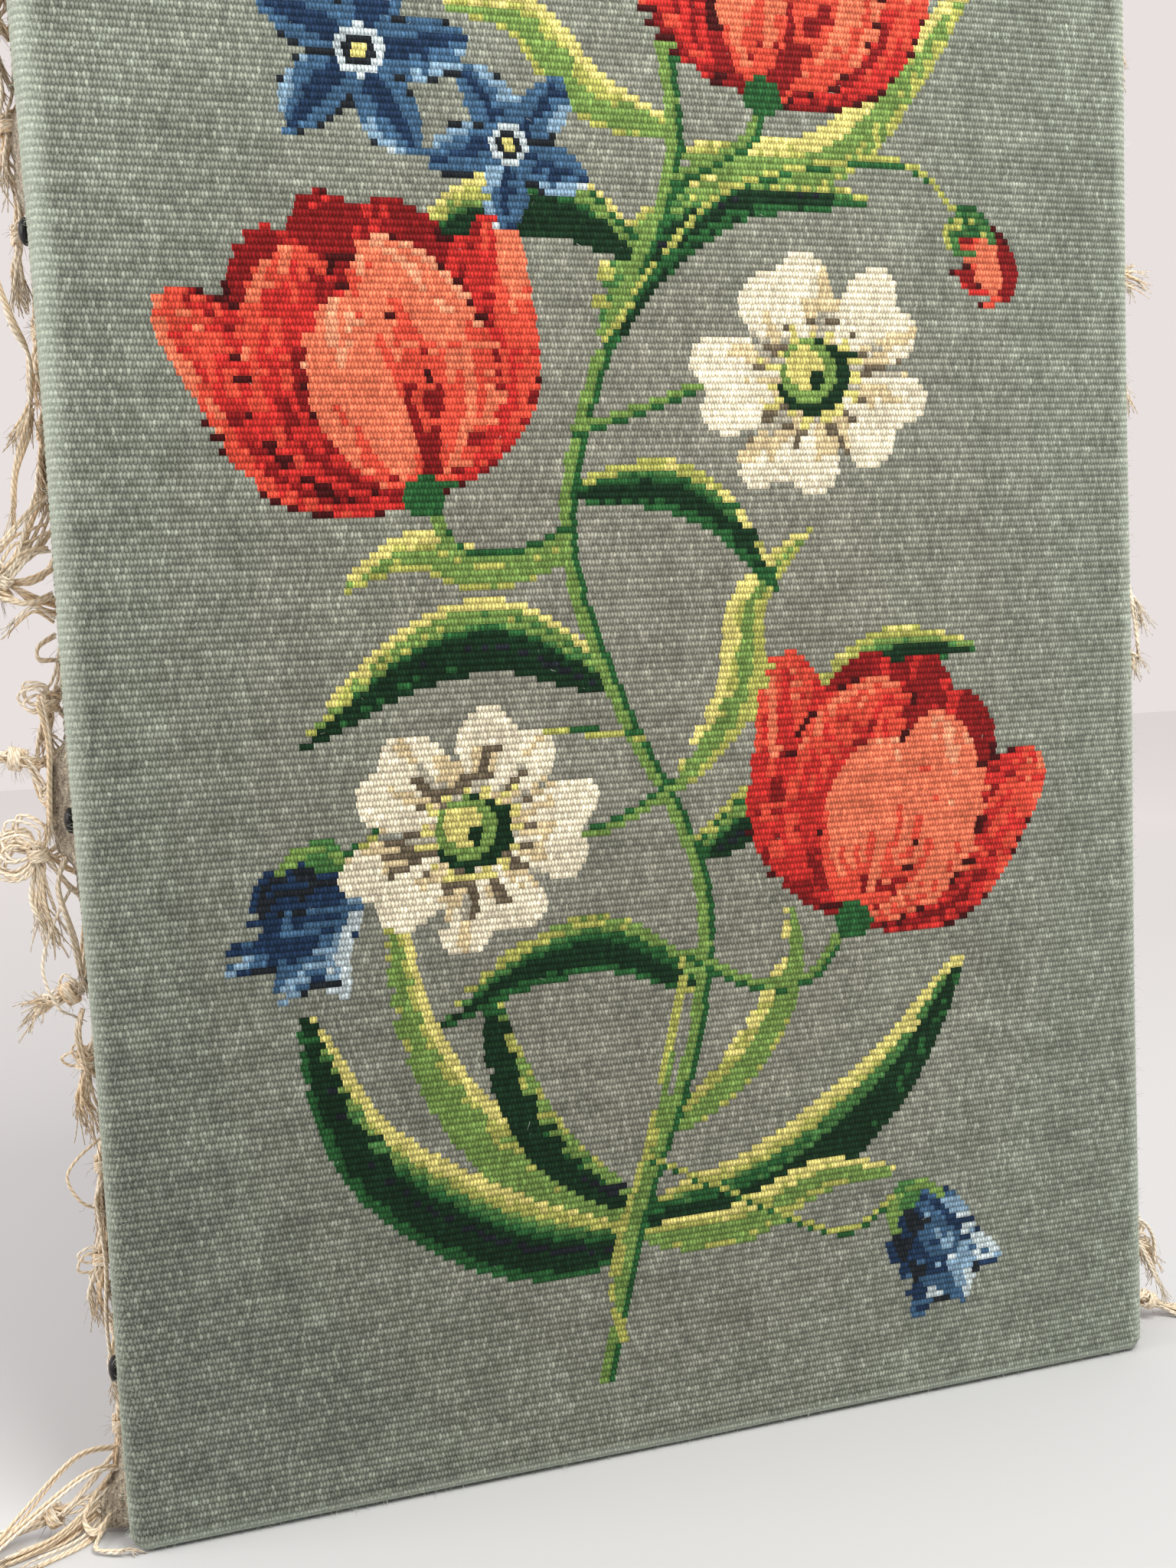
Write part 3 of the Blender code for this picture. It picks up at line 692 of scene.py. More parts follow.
# %% Build one side of the sheet
class ClothSide:
    """Points and faces of one side of the cloth, found by their place on the flat cloth."""

    def __init__(self, inset, profile, valley_rise, columns_of):
        self.inset = inset
        self.profile = profile  # (share of the rib, rise in mm) between its valleys
        self.valley_rise = valley_rise
        self.columns_of = columns_of
        self.places = {}
        self.points = []
        self.faces = []
        self.wools = []

    def at(self, u, v, rise=0):
        key = (round(u, 3), round(v, 3))
        if key not in self.places:
            self.places[key] = len(self.points)
            self.points.append(cloth_point(u, v, self.inset, rise))
        return self.places[key]

    def face(self, corners, wool):
        self.faces.append(corners if self.inset == 0 else corners[::-1])
        self.wools.append(wool)

    def rib(self, number):
        columns, runs = self.columns_of[number]
        low = BORDER_LOW + RIB_PITCH * number
        high = low + RIB_PITCH
        below = self.valley(number)
        above = self.valley(number + 1)
        lines = []
        for share, rise in self.profile:
            lines.append([self.at(u, low + share * RIB_PITCH, rise) for u in columns])
        for i, wool in enumerate(runs[:-1]):
            start, end = columns[i], columns[i + 1]
            under = [self.at(u, low, self.valley_rise) for u in below if start <= u <= end]
            over = [self.at(u, high, self.valley_rise) for u in above if start <= u <= end]
            self.face([*under, lines[0][i + 1], lines[0][i]], wool)
            for first, second in zip(lines, lines[1:]):
                self.face([first[i], first[i + 1], second[i + 1], second[i]], wool)
            self.face([lines[-1][i], lines[-1][i + 1], *reversed(over)], wool)

    def valley(self, number):
        """Every column that the ribs on both sides of a valley have there."""
        found = set()
        for rib in (number - 1, number):
            if rib in self.columns_of:
                found |= set(self.columns_of[rib][0])
        return sorted(found)

    def corner(self, sign, edge, way):
        """Fills the fan between a side flap and the turned edge. edge is the border's height there."""
        spokes = []
        for turn in (0, QUARTER / 4, QUARTER / 2, QUARTER * 3 / 4):
            spoke = [(sign * BORDER_X, edge)]
            for s in FLAP_STEPS:
                spoke.append((sign * (BORDER_X + s * math.cos(turn)), edge + way * s * math.sin(turn)))
            spokes.append(spoke)
        shares = [0, *[share for share, _ in self.profile]]
        rises = dict(self.profile)
        last = []
        for step in range(FLAP_REACH // RIB_PITCH + 1):
            for share in shares:
                s = RIB_PITCH * step + RIB_PITCH * share
                if s <= FLAP_REACH:
                    last.append((sign * BORDER_X, edge + way * s, rises.get(share, self.valley_rise)))
        spokes.append(last)
        for first, second in zip(spokes, spokes[1:]):
            self.zip_up(first, second, sign * way < 0)

    def zip_up(self, first, second, flip):
        """Triangles between two spokes that start at one point, by reach from it."""
        middle = first[0]
        reach = [[math.hypot(p[0] - middle[0], p[1] - middle[1]) for p in line] for line in (first, second)]
        a = [self.at(*p) for p in first]
        b = [self.at(*p) for p in second]
        i = j = 0
        while i + 1 < len(a) or j + 1 < len(b):
            climb = j + 1 == len(b) or (i + 1 < len(a) and reach[0][i + 1] <= reach[1][j + 1])
            corners = [a[i], a[i + 1], b[j]] if climb else [a[i], b[j + 1], b[j]]
            i, j = (i + 1, j) if climb else (i, j + 1)
            if len(set(corners)) == 3:
                self.face(corners[::-1] if flip else corners, 0)


SHOULDER_RISE = 0.44
VALLEY_RISE = 0.12
INNER_VALLEY_RISE = 0.25
outer_side = ClothSide(0, ((0.26, SHOULDER_RISE), (0.74, SHOULDER_RISE)), VALLEY_RISE, front_columns)
inner_side = ClothSide(CLOTH_THICKNESS, ((0.5, 0.0),), INNER_VALLEY_RISE, back_columns)
for cloth_side in (outer_side, inner_side):
    for rib in all_ribs:
        cloth_side.rib(rib)
    for sign in (-1, 1):
        cloth_side.corner(sign, BORDER_LOW, -1)
        cloth_side.corner(sign, BORDER_HIGH, 1)
    print("side at inset", cloth_side.inset, "has", len(cloth_side.faces), "faces")


# %% Close the sheet along its cut edges
def open_edges(faces):
    """The next corner after each one on an edge that a single face uses."""
    used = set()
    for corners in faces:
        used |= set(zip(corners, [*corners[1:], corners[0]]))
    return {a: b for a, b in used if (b, a) not in used}


def open_loops(faces):
    """The rings of corners round a mesh's openings and outline."""
    following = open_edges(faces)
    loops = []
    while following:
        start, current = following.popitem()
        loop = [start]
        while current != start:
            loop.append(current)
            current = following.pop(current)
        loops.append(loop)
    return loops


def join_sides(outer, inner):
    """Points, faces and wools of the whole sheet, with a rim between its two sides."""
    offset = len(outer.points)
    faces = outer.faces + [[i + offset for i in corners] for corners in inner.faces]
    wools = outer.wools + inner.wools
    key_of = {index: key for key, index in outer.places.items()}
    inner_following = open_edges(inner.faces)
    for loop in open_loops(outer.faces):
        shared = [n for n, index in enumerate(loop) if key_of[index] in inner.places]
        for first, second in zip(shared, [*shared[1:], shared[0] + len(loop)]):
            run = [loop[n % len(loop)] for n in range(first, second + 1)]
            back = [inner.places[key_of[run[-1]]]]
            while back[-1] != inner.places[key_of[run[0]]]:
                back.append(inner_following[back[-1]])
            faces.append([*reversed(run), *(i + offset for i in reversed(back))])
            wools.append(0)
    return outer.points + inner.points, faces, wools


points, faces, wools = join_sides(outer_side, inner_side)
cloth_mesh = bpy.data.meshes.new("woven_cloth")
cloth_mesh.from_pydata(points, [], faces)
print("valid sheet:", not cloth_mesh.validate(), "triangles:", sum(len(f) - 2 for f in faces))

# %% Write each float's dye and its place on the flat cloth
def keep_values(mesh, name, domain, values):
    """Stores three numbers at each point or corner, for a material to read."""
    layer = mesh.attributes.new(name, "FLOAT_VECTOR", domain)
    layer.data.foreach_set("vector", np.array(values, np.float32).ravel())


ground_flag = cloth_mesh.attributes.new("ground_share", "FLOAT", "CORNER")
dye_layer = cloth_mesh.color_attributes.new("wool_dye", "FLOAT_COLOR", "CORNER")
corner_counts = [len(f) for f in faces]
corner_wools = np.repeat(np.array(wools), corner_counts)
corner_colours = np.ones((len(corner_wools), 4), np.float32)
corner_colours[:, :3] = WOOL_COLOURS[corner_wools]
dye_layer.data.foreach_set("color", corner_colours.ravel())
ground_flag.data.foreach_set("value", (corner_wools == 0).astype(np.float32))
flat_places = np.zeros((len(points), 3), np.float32)
for cloth_side, offset in ((outer_side, 0), (inner_side, len(outer_side.points))):
    for (u, v), index in cloth_side.places.items():
        flat_places[index + offset] = (u, v, cloth_side.inset)
keep_values(cloth_mesh, "flat_place", "POINT", flat_places)
cloth_mesh.shade_smooth()

cloth = bpy.data.objects.new("woven_cloth", cloth_mesh)
bpy.context.scene.collection.objects.link(cloth)
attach(cloth, "root")
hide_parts("tapestry_cloth")
print("loose ends round the sheet:", len(open_loops(faces)))

# %% [markdown]
# ## Wool
#
# Weft-faced wool is matt and faintly furry. What the eye reads is the brick pattern of its
# floats: each is a short round bar over one rib, the next rib's are half a float further on,
# and a shaded pit is left where four of them meet. The floats are too many to model, so the
# ribs are real and the floats are bump and colour, with painted shade in the pits and painted
# light on their tops, worked out from the place on the flat cloth, so that they turn the
# edges with it.


# %% The floats of the cloth, for its material
FLOAT_REACH = 0.69  # how far a float's dome reaches to each side, in picks
FLOAT_SPAN = 0.79  # and up and down, in ribs


def floats_at(tree, u, v):
    """(height, rib, pick) of the float that lies on top at a place of the flat cloth."""
    rib_place = add(tree, "Math DIVIDE", add(tree, "Math SUBTRACT", v, BORDER_LOW), RIB_PITCH)
    rib = add(tree, "Math FLOOR", rib_place)
    in_rib = add(tree, "Math SUBTRACT", add(tree, "Math FRACT", rib_place), 0.5)
    odd = add(tree, "Math FLOORED_MODULO", rib, 2)
    picks = add(tree, "Math DIVIDE", u, PICK_PITCH)
    pick_place = add(tree, "Math MULTIPLY_ADD", odd, 0.5, picks)
    from_float = add(tree, "Math ABSOLUTE",
                     add(tree, "Math SUBTRACT", add(tree, "Math FRACT", pick_place), 0.5))
    from_crest = add(tree, "Math ABSOLUTE", in_rib)

    # Each float is a low oval dome. It reaches past its rib, in between the next rib's floats.
    def dome(beside, above):
        flat = add(tree, "Math POWER", add(tree, "Math DIVIDE", beside, FLOAT_REACH), 2)
        tall = add(tree, "Math POWER", add(tree, "Math DIVIDE", above, FLOAT_SPAN), 2)
        return add(tree, "Math SUBTRACT", add(tree, "Math SUBTRACT", 1, flat), tall)

    own = dome(from_float, from_crest)
    neighbour = dome(add(tree, "Math SUBTRACT", 0.5, from_float), add(tree, "Math SUBTRACT", 1, from_crest))
    height = add(tree, "Math MAXIMUM", add(tree, "Math MAXIMUM", own, neighbour), 0.0)
    taken = add(tree, "Math GREATER_THAN", neighbour, own)
    float_rib = add(tree, "Math MULTIPLY_ADD", taken, add(tree, "Math SIGN", in_rib), rib)
    float_odd = add(tree, "Math FLOORED_MODULO", float_rib, 2)
    float_pick = add(tree, "Math FLOOR", add(tree, "Math MULTIPLY_ADD", float_odd, 0.5, picks))
    return height, float_rib, float_pick


# %% Drift and wear of the wool, for its material
def ground_tint(tree, place):
    """The ground is greener near the edges and warmer in the middle."""
    from_middle = add(tree, "VectorMath MULTIPLY_ADD", place, (1 / 190, 1 / 330, 0), (0, -0.68, 0))
    away = add(tree, "VectorMath LENGTH", from_middle, output="Value")
    drift = add(tree, "MapRange", away, 0.35, 0.95)
    warmer, greener = (1.03, 1.0, 0.99, 1), (0.94, 1.02, 1.02, 1)
    return add(tree, "Mix", Factor=drift, A=warmer, B=greener, data_type="RGBA", output="Result")


def roll_light(tree, flat, smudge):
    """Above the crease along the foot the cloth rolls forward and takes more light."""
    wandering = add(tree, "Math MULTIPLY_ADD", smudge, 5.0, flat["Y"])
    from_roll = add(tree, "Math DIVIDE", add(tree, "Math SUBTRACT", wandering, 15.5), 4.0)
    return add(tree, "Math EXPONENT", add(tree, "Math MULTIPLY", add(tree, "Math POWER", from_roll, 2), -1))


def painted_slant_light(tree, flat):
    """Painted light and shade: lighter at the upper left and the lower right, darker at the other two
    corners.
    """
    slanting = add(tree, "Math MULTIPLY", flat["X"], add(tree, "Math SUBTRACT", flat["Y"], 300.0))
    return add(tree, "MapRange", slanting, -26000.0, 34000.0, 1.08, 0.83)


def nap_and_painted_sheen(tree, flat, hair):
    """Handling has raised the nap along the turned edges, most at the upper left, and painted sheen makes
    them paler and lighter.
    """
    upper = add(tree, "MapRange", flat["Y"], 60.0, 360.0, -3.4, 1.6)
    past_left = add(tree, "Math SUBTRACT", upper, add(tree, "Math ADD", flat["X"], BORDER_X))
    past_right = add(tree, "Math SUBTRACT", flat["X"], BORDER_X)
    past_foot = add(tree, "Math MULTIPLY", add(tree, "Math SUBTRACT", BORDER_LOW, flat["Y"]), 1.6)
    past_border = add(tree, "Math MAXIMUM", add(tree, "Math MAXIMUM", past_left, past_right), past_foot)
    nap_and_sheen_share = add(tree, "MapRange", past_border, -2.5, 3.6)
    return add(tree, "Math MULTIPLY", nap_and_sheen_share, add(tree, "Math MULTIPLY_ADD", hair, 0.8, 0.35), use_clamp=True)


# %% Material: weft-faced wool, spun and dyed by hand
def weft_faced_wool():
    """Matt ribs of round floats, each a little lighter or darker, with painted shade in their pits and a
    furry bloom of nap and painted sheen at the edges.
    """
    finish, tree, shader = new_finish("weft_faced_wool", roughness=0.92, specular=0.12, sheen=0.08,
                                      sheen_tint="#DDE6D8")
    place = add(tree, "Attribute", attribute_name="flat_place", output="Vector")
    flat = add(tree, "SeparateXYZ", place).node.outputs
    # No two picks are beaten down alike, so the floats lean, swell and shift a little.
    wobble = add(tree, "TexNoise", Vector=place, Scale=0.9, Detail=1.5, output="Color")
    shift = add(tree, "SeparateXYZ", wobble).node.outputs
    u = add(tree, "Math MULTIPLY_ADD", shift["X"], 0.9, flat["X"])
    v = add(tree, "Math MULTIPLY_ADD", add(tree, "Math SUBTRACT", shift["Y"], 0.5), 1.1, flat["Y"])
    height, float_rib, float_pick = floats_at(tree, u, v)
    number = add(tree, "CombineXYZ", float_pick, float_rib)
    lot = add(tree, "TexWhiteNoise", Vector=number, noise_dimensions="3D", output="Value")
    pale_fleck = add(tree, "Math MULTIPLY", add(tree, "Math POWER", lot, 14), 0.24)
    # Spinning is uneven, so a stretch of one rib is a little lighter or darker than the next.
    along = add(tree, "CombineXYZ", add(tree, "Math MULTIPLY", u, 0.07),
                add(tree, "Math MULTIPLY", float_rib, 0.9))
    rib_tone = add(tree, "TexNoise", Vector=along, Scale=1.0, Detail=2.0)
    # Hair: fine noise drawn out along the floats, leaning as the yarn was spun.
    leaning = add(tree, "Math MULTIPLY_ADD", flat["Y"], 0.3, flat["X"])
    drawn_out = add(tree, "CombineXYZ", add(tree, "Math MULTIPLY", leaning, 4.5),
                    add(tree, "Math MULTIPLY", flat["Y"], 1.3))
    hair = add(tree, "TexNoise", Vector=drawn_out, Scale=1.0, Detail=3.0)
    # Abrash: the dye drifts from one length of weft to the next, so it runs up and down.
    drawn_up = add(tree, "VectorMath MULTIPLY", place, (0.11, 0.014, 1))
    abrash = add(tree, "TexNoise", Vector=drawn_up, Scale=1.0, Detail=3.0)
    drawn_along = add(tree, "VectorMath MULTIPLY", place, (0.03, 0.1, 1))
    smudge = add(tree, "TexNoise", Vector=drawn_along, Scale=1.0, Detail=3.0)

    tone = add(tree, "Math ADD", add(tree, "Math MULTIPLY_ADD", lot, 0.45, 0.735), pale_fleck)
    # Painted shade and light: the floats' height paints their pits darker and their tops lighter, and
    # roll_light paints the roll along the foot lighter.
    for cause, gain, least in (
            (rib_tone, 0.7, 0.65), (hair, 1.0, 0.5), (abrash, 0.5, 0.75), (smudge, 0.6, 0.70),
            (height, 1.26, -0.14), (roll_light(tree, flat, smudge), 0.17, 1.0)):
        tone = add(tree, "Math MULTIPLY", tone, add(tree, "Math MULTIPLY_ADD", cause, gain, least))
    # Painted light and shade: lighter at the upper left and lower right, darker at the other corners.
    tone = add(tree, "Math MULTIPLY", tone, painted_slant_light(tree, flat))
    dye_colour = add(tree, "Attribute", attribute_name="wool_dye", output="Color")
    ground = add(tree, "Attribute", attribute_name="ground_share", output="Fac")
    dyed = add(tree, "Mix", Factor=ground, A=dye_colour, B=ground_tint(tree, place), data_type="RGBA",
               blend_type="MULTIPLY", output="Result")
    # Painted sheen with real nap: the turned edges are painted paler and lighter, most at the upper left.
    nap = nap_and_painted_sheen(tree, flat, hair)
    tone = add(tree, "Math MULTIPLY_ADD", nap, add(tree, "Math SUBTRACT", 1.0, tone), tone)
    napped_and_sheened = add(tree, "Mix", Factor=nap, A=dyed, B=rgba("#BCC4B6"), data_type="RGBA", output="Result")
    tree.links.new(add(tree, "VectorMath SCALE", napped_and_sheened, Scale=tone), shader.inputs["Base Color"])
    relief = add(tree, "Math MULTIPLY_ADD", hair, 0.35, height)
    tree.links.new(add(tree, "Bump", Height=relief, Distance=0.28 * MM), shader.inputs["Normal"])
    return finish


cloth_mesh.materials.append(weft_faced_wool())
print("cloth material:", cloth_mesh.materials[0].name)

# %% [markdown]
# ## Heading bands
#
# Beyond the picture the weaver ends with a narrow band of coarse undyed yarn, in plain
# weave, that keeps the wefts from sliding off. On this panel it isn't nailed down: it
# stands out a little from the side, here more and there less.

# %% How far each heading stands out, as (height, outward) in mm
HEADING_WIDTH = 10
HEADING_THICKNESS = 1.6
HEADING_END = 2
FLAP_DEPTH = 13.3
LEFT_FLARE = (
    (0, 9.4), (9, 9.0), (20, 2.6), (28, 1.0), (185, 1.0), (199, 1.6), (208, 6.5), (216, 7.5),
    (230, 7.0), (240, 1.4), (256, 1.0), (385, 1.0), (392, 3.0), (408, 3.0), (416, 1.0), (540, 1.5),
)
RIGHT_FLARE = ((0, 7.5), (24, 6.0), (44, 2.5), (110, 1.2), (540, 1.5))


def eased(table, height):
    """Reads a two-column table at a height, with a smooth change between its rows."""
    for (low, before), (high, after) in zip(table, table[1:]):
        if height <= high:
            share = max(0, (height - low) / (high - low))
            return before + (after - before) * (1 - math.cos(math.pi * share)) / 2
    return table[-1][1]


def heading_ends(side, flare, z):
    """The heading's near and far edges at a height, and the way from one to the other, in mm."""
    half_width = PANEL_WIDTH / 2 + edge_wander(z) - CLOTH_THICKNESS / 2
    near = np.array((side * half_width, FRONT_Y + FLAP_DEPTH, z))
    out = eased(flare, z)
    way = np.array((side * out, math.sqrt(HEADING_WIDTH ** 2 - out ** 2), 0)) / HEADING_WIDTH
    return near, near + HEADING_WIDTH * way, way


# %% Weave one heading: picks that pass over one warp and under the next, on both faces
HEADING_STEPS = 16
ROW_STEP = 1.0  # two rows to a warp
WARP_SWELL = 0.32
PICK_DIP = 0.18
EDGE_RAGGED = 0.35


def add_piece(name, points, faces):
    """A smooth piece from points in mm."""
    mesh = bpy.data.meshes.new(name)
    mesh.from_pydata((np.array(points) * MM).tolist(), [], faces)
    mesh.shade_smooth()
    piece = bpy.data.objects.new(name, mesh)
    bpy.context.scene.collection.objects.link(piece)
    return piece


def heading_band(name, side, flare):
    """A closed band in plain weave: warps run across it, and its picks go over and under them."""
    rows = np.arange(HEADING_END, PANEL_HEIGHT - HEADING_END + ROW_STEP / 2, ROW_STEP)
    lines = []
    for row, z in enumerate(rows):
        near, far, way = heading_ends(side, flare, z)
        off = np.array((side * way[1], -side * way[0], 0))
        warp = (row - 1) // 2
        on_warp = row % 2
        line = []
        for face in (1, -1):
            steps = range(HEADING_STEPS + 1) if face == 1 else range(HEADING_STEPS, -1, -1)
            for step in steps:
                over = (step // 2 + warp) % 2 == (face == 1)
                rise = WARP_SWELL * (on_warp and step % 2 and over) - PICK_DIP * (not step % 2)
                ragged = EDGE_RAGGED * math.sin(2.1 * row) * (step == HEADING_STEPS)
                half = HEADING_THICKNESS / 2 + rise
                across = near + (far - near) * (step / HEADING_STEPS) + way * ragged
                line.append(across + face * off * half)
        lines.append(line)
    size = len(lines[0])
    faces = []
    for row in range(len(rows) - 1):
        for step in range(size):
            following = (step + 1) % size
            corners = [row * size + step, row * size + following, (row + 1) * size + following,
                       (row + 1) * size + step]
            faces.append(corners if side == -1 else corners[::-1])
    ends = [list(range(size))[::-1], list(range((len(rows) - 1) * size, len(rows) * size))]
    faces += ends if side == -1 else [end[::-1] for end in ends]
    band = add_piece(name, np.array(lines).reshape(-1, 3), faces)
    band.data.validate()
    values = []
    for z in rows:
        for step in range(size):
            across = min(step, 2 * HEADING_STEPS + 1 - step)
            values.append((across / HEADING_STEPS * HEADING_WIDTH, z, 0 if step <= HEADING_STEPS else 1))
    keep_values(band.data, "heading_place", "POINT", values)
    return band


heading_left = heading_band("heading_left", -1, LEFT_FLARE)
heading_right = heading_band("heading_right", 1, RIGHT_FLARE)
print("heading faces:", len(heading_left.data.polygons))

# %% [markdown]
# ## Warp ends
#
# When the weaving was cut from the loom, the warps were knotted in bunches of thirteen or
# fourteen, so that nothing unravels. Each yarn is two plies of undyed cotton. Half of a
# bunch runs straight through its knot and half wraps round it, as in an overhand knot,
# and the cut tails open into loose strands.

# %% The bunches, lowest first
# Each is (knot out, knot drop, tail out, tail drop, depth, loops), in mm from the heading's
# outer edge. Most hang close behind it; the rest stand out as the photograph shows.
BUNDLE_PITCH = 27
TUCKED = (1.4, 11, 2.0, 29, 1, 0)
TUCKED_DEEP = (0.8, 9, 1.0, 27, 5, 0)
LEFT_BUNDLES = (
    (16, 7, 58, 20, -1, 0), TUCKED, TUCKED_DEEP, (3, 12, 4, 27, 1, 1), TUCKED,
    (3, 6, 4, 24, 2, 1), (6, 12, 17, 16, 0, 1), (9, -3, 7, 20, -1, 8), (9, -4, 24, -8, 2, 0),
    (5, 8, 6, 22, 1, 3), (16, 2, 34, 22, 1, 3), (15, 26, 30, 40, -3, 2), TUCKED, TUCKED_DEEP,
    TUCKED, (3, 8, 4, 24, 1, 0), (5, 9, 6, 26, -1, 1), (6, 8, 16, 20, 2, 1), TUCKED, (9, 8, 22, 24, 1, 1),
)
RIGHT_BUNDLES = (
    (10, 6, 30, 18, -1, 0), (9, 9, 19, 20, 2, 3), TUCKED, TUCKED_DEEP, TUCKED,
    TUCKED_DEEP, (4, 9, 7, 28, 2, 1), TUCKED, TUCKED_DEEP, (9, 4, 15, 14, 1, 1),
    (8, 8, 17, 24, 2, 2), TUCKED, TUCKED_DEEP, (6, 10, 13, 28, 1, 1), (9, 12, 19, 14, 2, 0),
    TUCKED, TUCKED_DEEP, (7, 8, 12, 26, 1, 1), TUCKED, TUCKED_DEEP,
)
YARN_RADIUS = 0.5
PLY_RADIUS = 0.27
OPENED_STRANDS = 3
LOOSE_FIBRES = 3
KNOT_HAIRS = 30
HAIR_RADIUS = 0.06  # real fibres are several times finer; these are drawn coarser so that they show
HAIR_TIP = 0.03
HAIR_RADII = (HAIR_RADIUS, HAIR_RADIUS, HAIR_RADIUS, HAIR_TIP)
INTO_KNOT = 3.4  # from a knot's middle back to where its yarns gather
OUT_OF_KNOT = 3.6
PACKING_TURN = 2.4  # radians from one yarn to the next, so that a bunch fills evenly
PACKED_RADIUS = 1.6
WRAP_TURNS = 1.15
WRAP_RISE = 2.4  # along the bunch, in one wrap
WRAPS_APART = 3.3  # along the bunch, from its first wrap to its last
TIPS_APART = 3.4  # from the middle of a bunch's tail to its outermost tips
FLOOR_TIPS_APART = 7  # and in depth, where it lies on the floor


# %% A heap of strands: round tubes gathered in one mesh
class Strands:
    """Each corner keeps (turn round the strand, mm along it, a lot for its shade)."""

    def __init__(self):
        self.points = []
        self.faces = []
        self.places = []
        self.count = 0

    def add(self, line, radii, sides, lot):
        line = np.array(line, float)
        radii = np.broadcast_to(np.array(radii, float), len(line)).copy()
        line[:, 2] = np.maximum(line[:, 2], radii + 0.02)  # nothing sinks into the floor
        ways = np.gradient(line, axis=0)
        ways /= np.maximum(np.linalg.norm(ways, axis=1), 1e-9)[:, None]
        first = np.cross(ways[0], (0.3, 0.9, 0.2))
        first /= np.linalg.norm(first)
        turns = np.arange(sides) / sides * math.tau
        rings = []
        for centre, way, radius in zip(line, ways, radii):
            first = first - way * first.dot(way)
            first /= np.linalg.norm(first)
            second = np.cross(way, first)
            around = np.cos(turns)[:, None] * first + np.sin(turns)[:, None] * second
            rings.append(centre + radius * around)
        reach = np.concatenate([[0], np.cumsum(np.linalg.norm(np.diff(line, axis=0), axis=1))])
        offset = self.count
        self.points.append(np.concatenate(rings))
        self.count += len(line) * sides
        for ring in range(len(line) - 1):
            for k in range(sides):
                low = offset + ring * sides
                high = low + sides
                self.faces.append((low + k, low + (k + 1) % sides, high + (k + 1) % sides, high + k))
                start, end = k / sides, (k + 1) / sides
                self.places += [(start, reach[ring], lot), (end, reach[ring], lot),
                                (end, reach[ring + 1], lot), (start, reach[ring + 1], lot)]
        self.faces.append(tuple(range(offset + sides - 1, offset - 1, -1)))
        self.faces.append(tuple(range(self.count - sides, self.count)))
        self.places += [(0, 0, lot)] * sides + [(0, reach[-1], lot)] * sides

    def build(self, name):
        heap = add_piece(name, np.concatenate(self.points), self.faces)
        keep_values(heap.data, "strand_place", "CORNER", self.places)
        return heap


# %% Tie one bunch
DEEP = np.array((0, 1, 0))


def yarn_with_tail(heap, route, tail, cut, lots, on_floor=False):
    """A yarn along a route, then part of its tail, which opens into strands and sheds fibres."""
    lot = lots.uniform(0, 1)
    heap.add(np.concatenate([route[:-1], tail[:cut + 1]]), YARN_RADIUS, 5, lot)
    run = tail[min(cut + 1, len(tail) - 1)] - tail[cut - 1]
    run /= np.linalg.norm(run)
    left = np.linalg.norm(tail[-1] - tail[cut]) + 3
    for strand in range(OPENED_STRANDS):
        stray = lots.uniform(-1, 1, 3) * (0.4, 0.4, 0.3) + (0, 0, -0.25)
        open_end = tail[cut] + (run + stray) * left
        if on_floor:
            open_end[2] = PLY_RADIUS
        halfway = tail[cut] + run * left * 0.5 + stray * left * 0.25
        line = curve_through([tail[cut] - run, halfway, open_end], 6)
        heap.add(line, np.linspace(PLY_RADIUS, 0.5 * PLY_RADIUS, 6), 3, lot)
    for fibre in range(LOOSE_FIBRES):
        base = tail[lots.integers(1, len(tail))]
        bent = base + run * lots.uniform(0.5, 2.0) + lots.uniform(-1.6, 1.6, 3)
        loose = bent + run * lots.uniform(0.5, 2.5) + lots.uniform(-2.4, 2.4, 3)
        heap.add(curve_through([base, bent, loose], 4), HAIR_RADII, 3, lot)


def wrap_round(knot, knot_size, across, tail_way, shift, first_turn):
    """The turn that a yarn takes round its own bunch."""
    turn = []
    for q in np.linspace(0, 1, 9):
        angle = first_turn + math.tau * WRAP_TURNS * q
        wrap = knot_size * (math.cos(angle) * across + math.sin(angle) * DEEP)
        turn.append(knot + wrap + tail_way * (shift + WRAP_RISE * (q - 0.5)))
    return turn


def add_loops(heap, knot, outward, loops, lots):
    """Slack yarn that stands out of a knot in loops."""
    for loop in range(2 * loops):
        size = lots.uniform(3.0, 5.0) + 0.5 * loops
        middle_way = lots.uniform(-0.6, 1.4)
        away = math.cos(middle_way) * outward + math.sin(middle_way) * np.array((0, 0, 1))
        beside = np.cross(away, DEEP)
        tilt = DEEP * lots.uniform(-0.5, 0.5)
        line = curve_through([
            knot,
            knot + size * (0.8 * away + 0.55 * beside + tilt),
            knot + size * 1.5 * away,
            knot + size * (0.7 * away - 0.6 * beside - tilt),
            knot,
        ], 16)
        heap.add(line, YARN_RADIUS * 0.9, 5, lots.uniform(0.3, 1))


def add_knot_hairs(heap, knot, knot_size, lots):
    """Fine hairs that stand out of a knot all round."""
    for hair in range(KNOT_HAIRS):
        way_out = lots.normal(size=3)
        way_out /= np.linalg.norm(way_out)
        base = knot + way_out * knot_size * 0.9
        drop = lots.uniform(-1, 1, 3) + (0, 0, -1)
        line = curve_through([base, base + way_out * 1.5, base + way_out * 3.5 + drop], 4)
        heap.add(line, HAIR_RADII, 3, lots.uniform(0, 1))


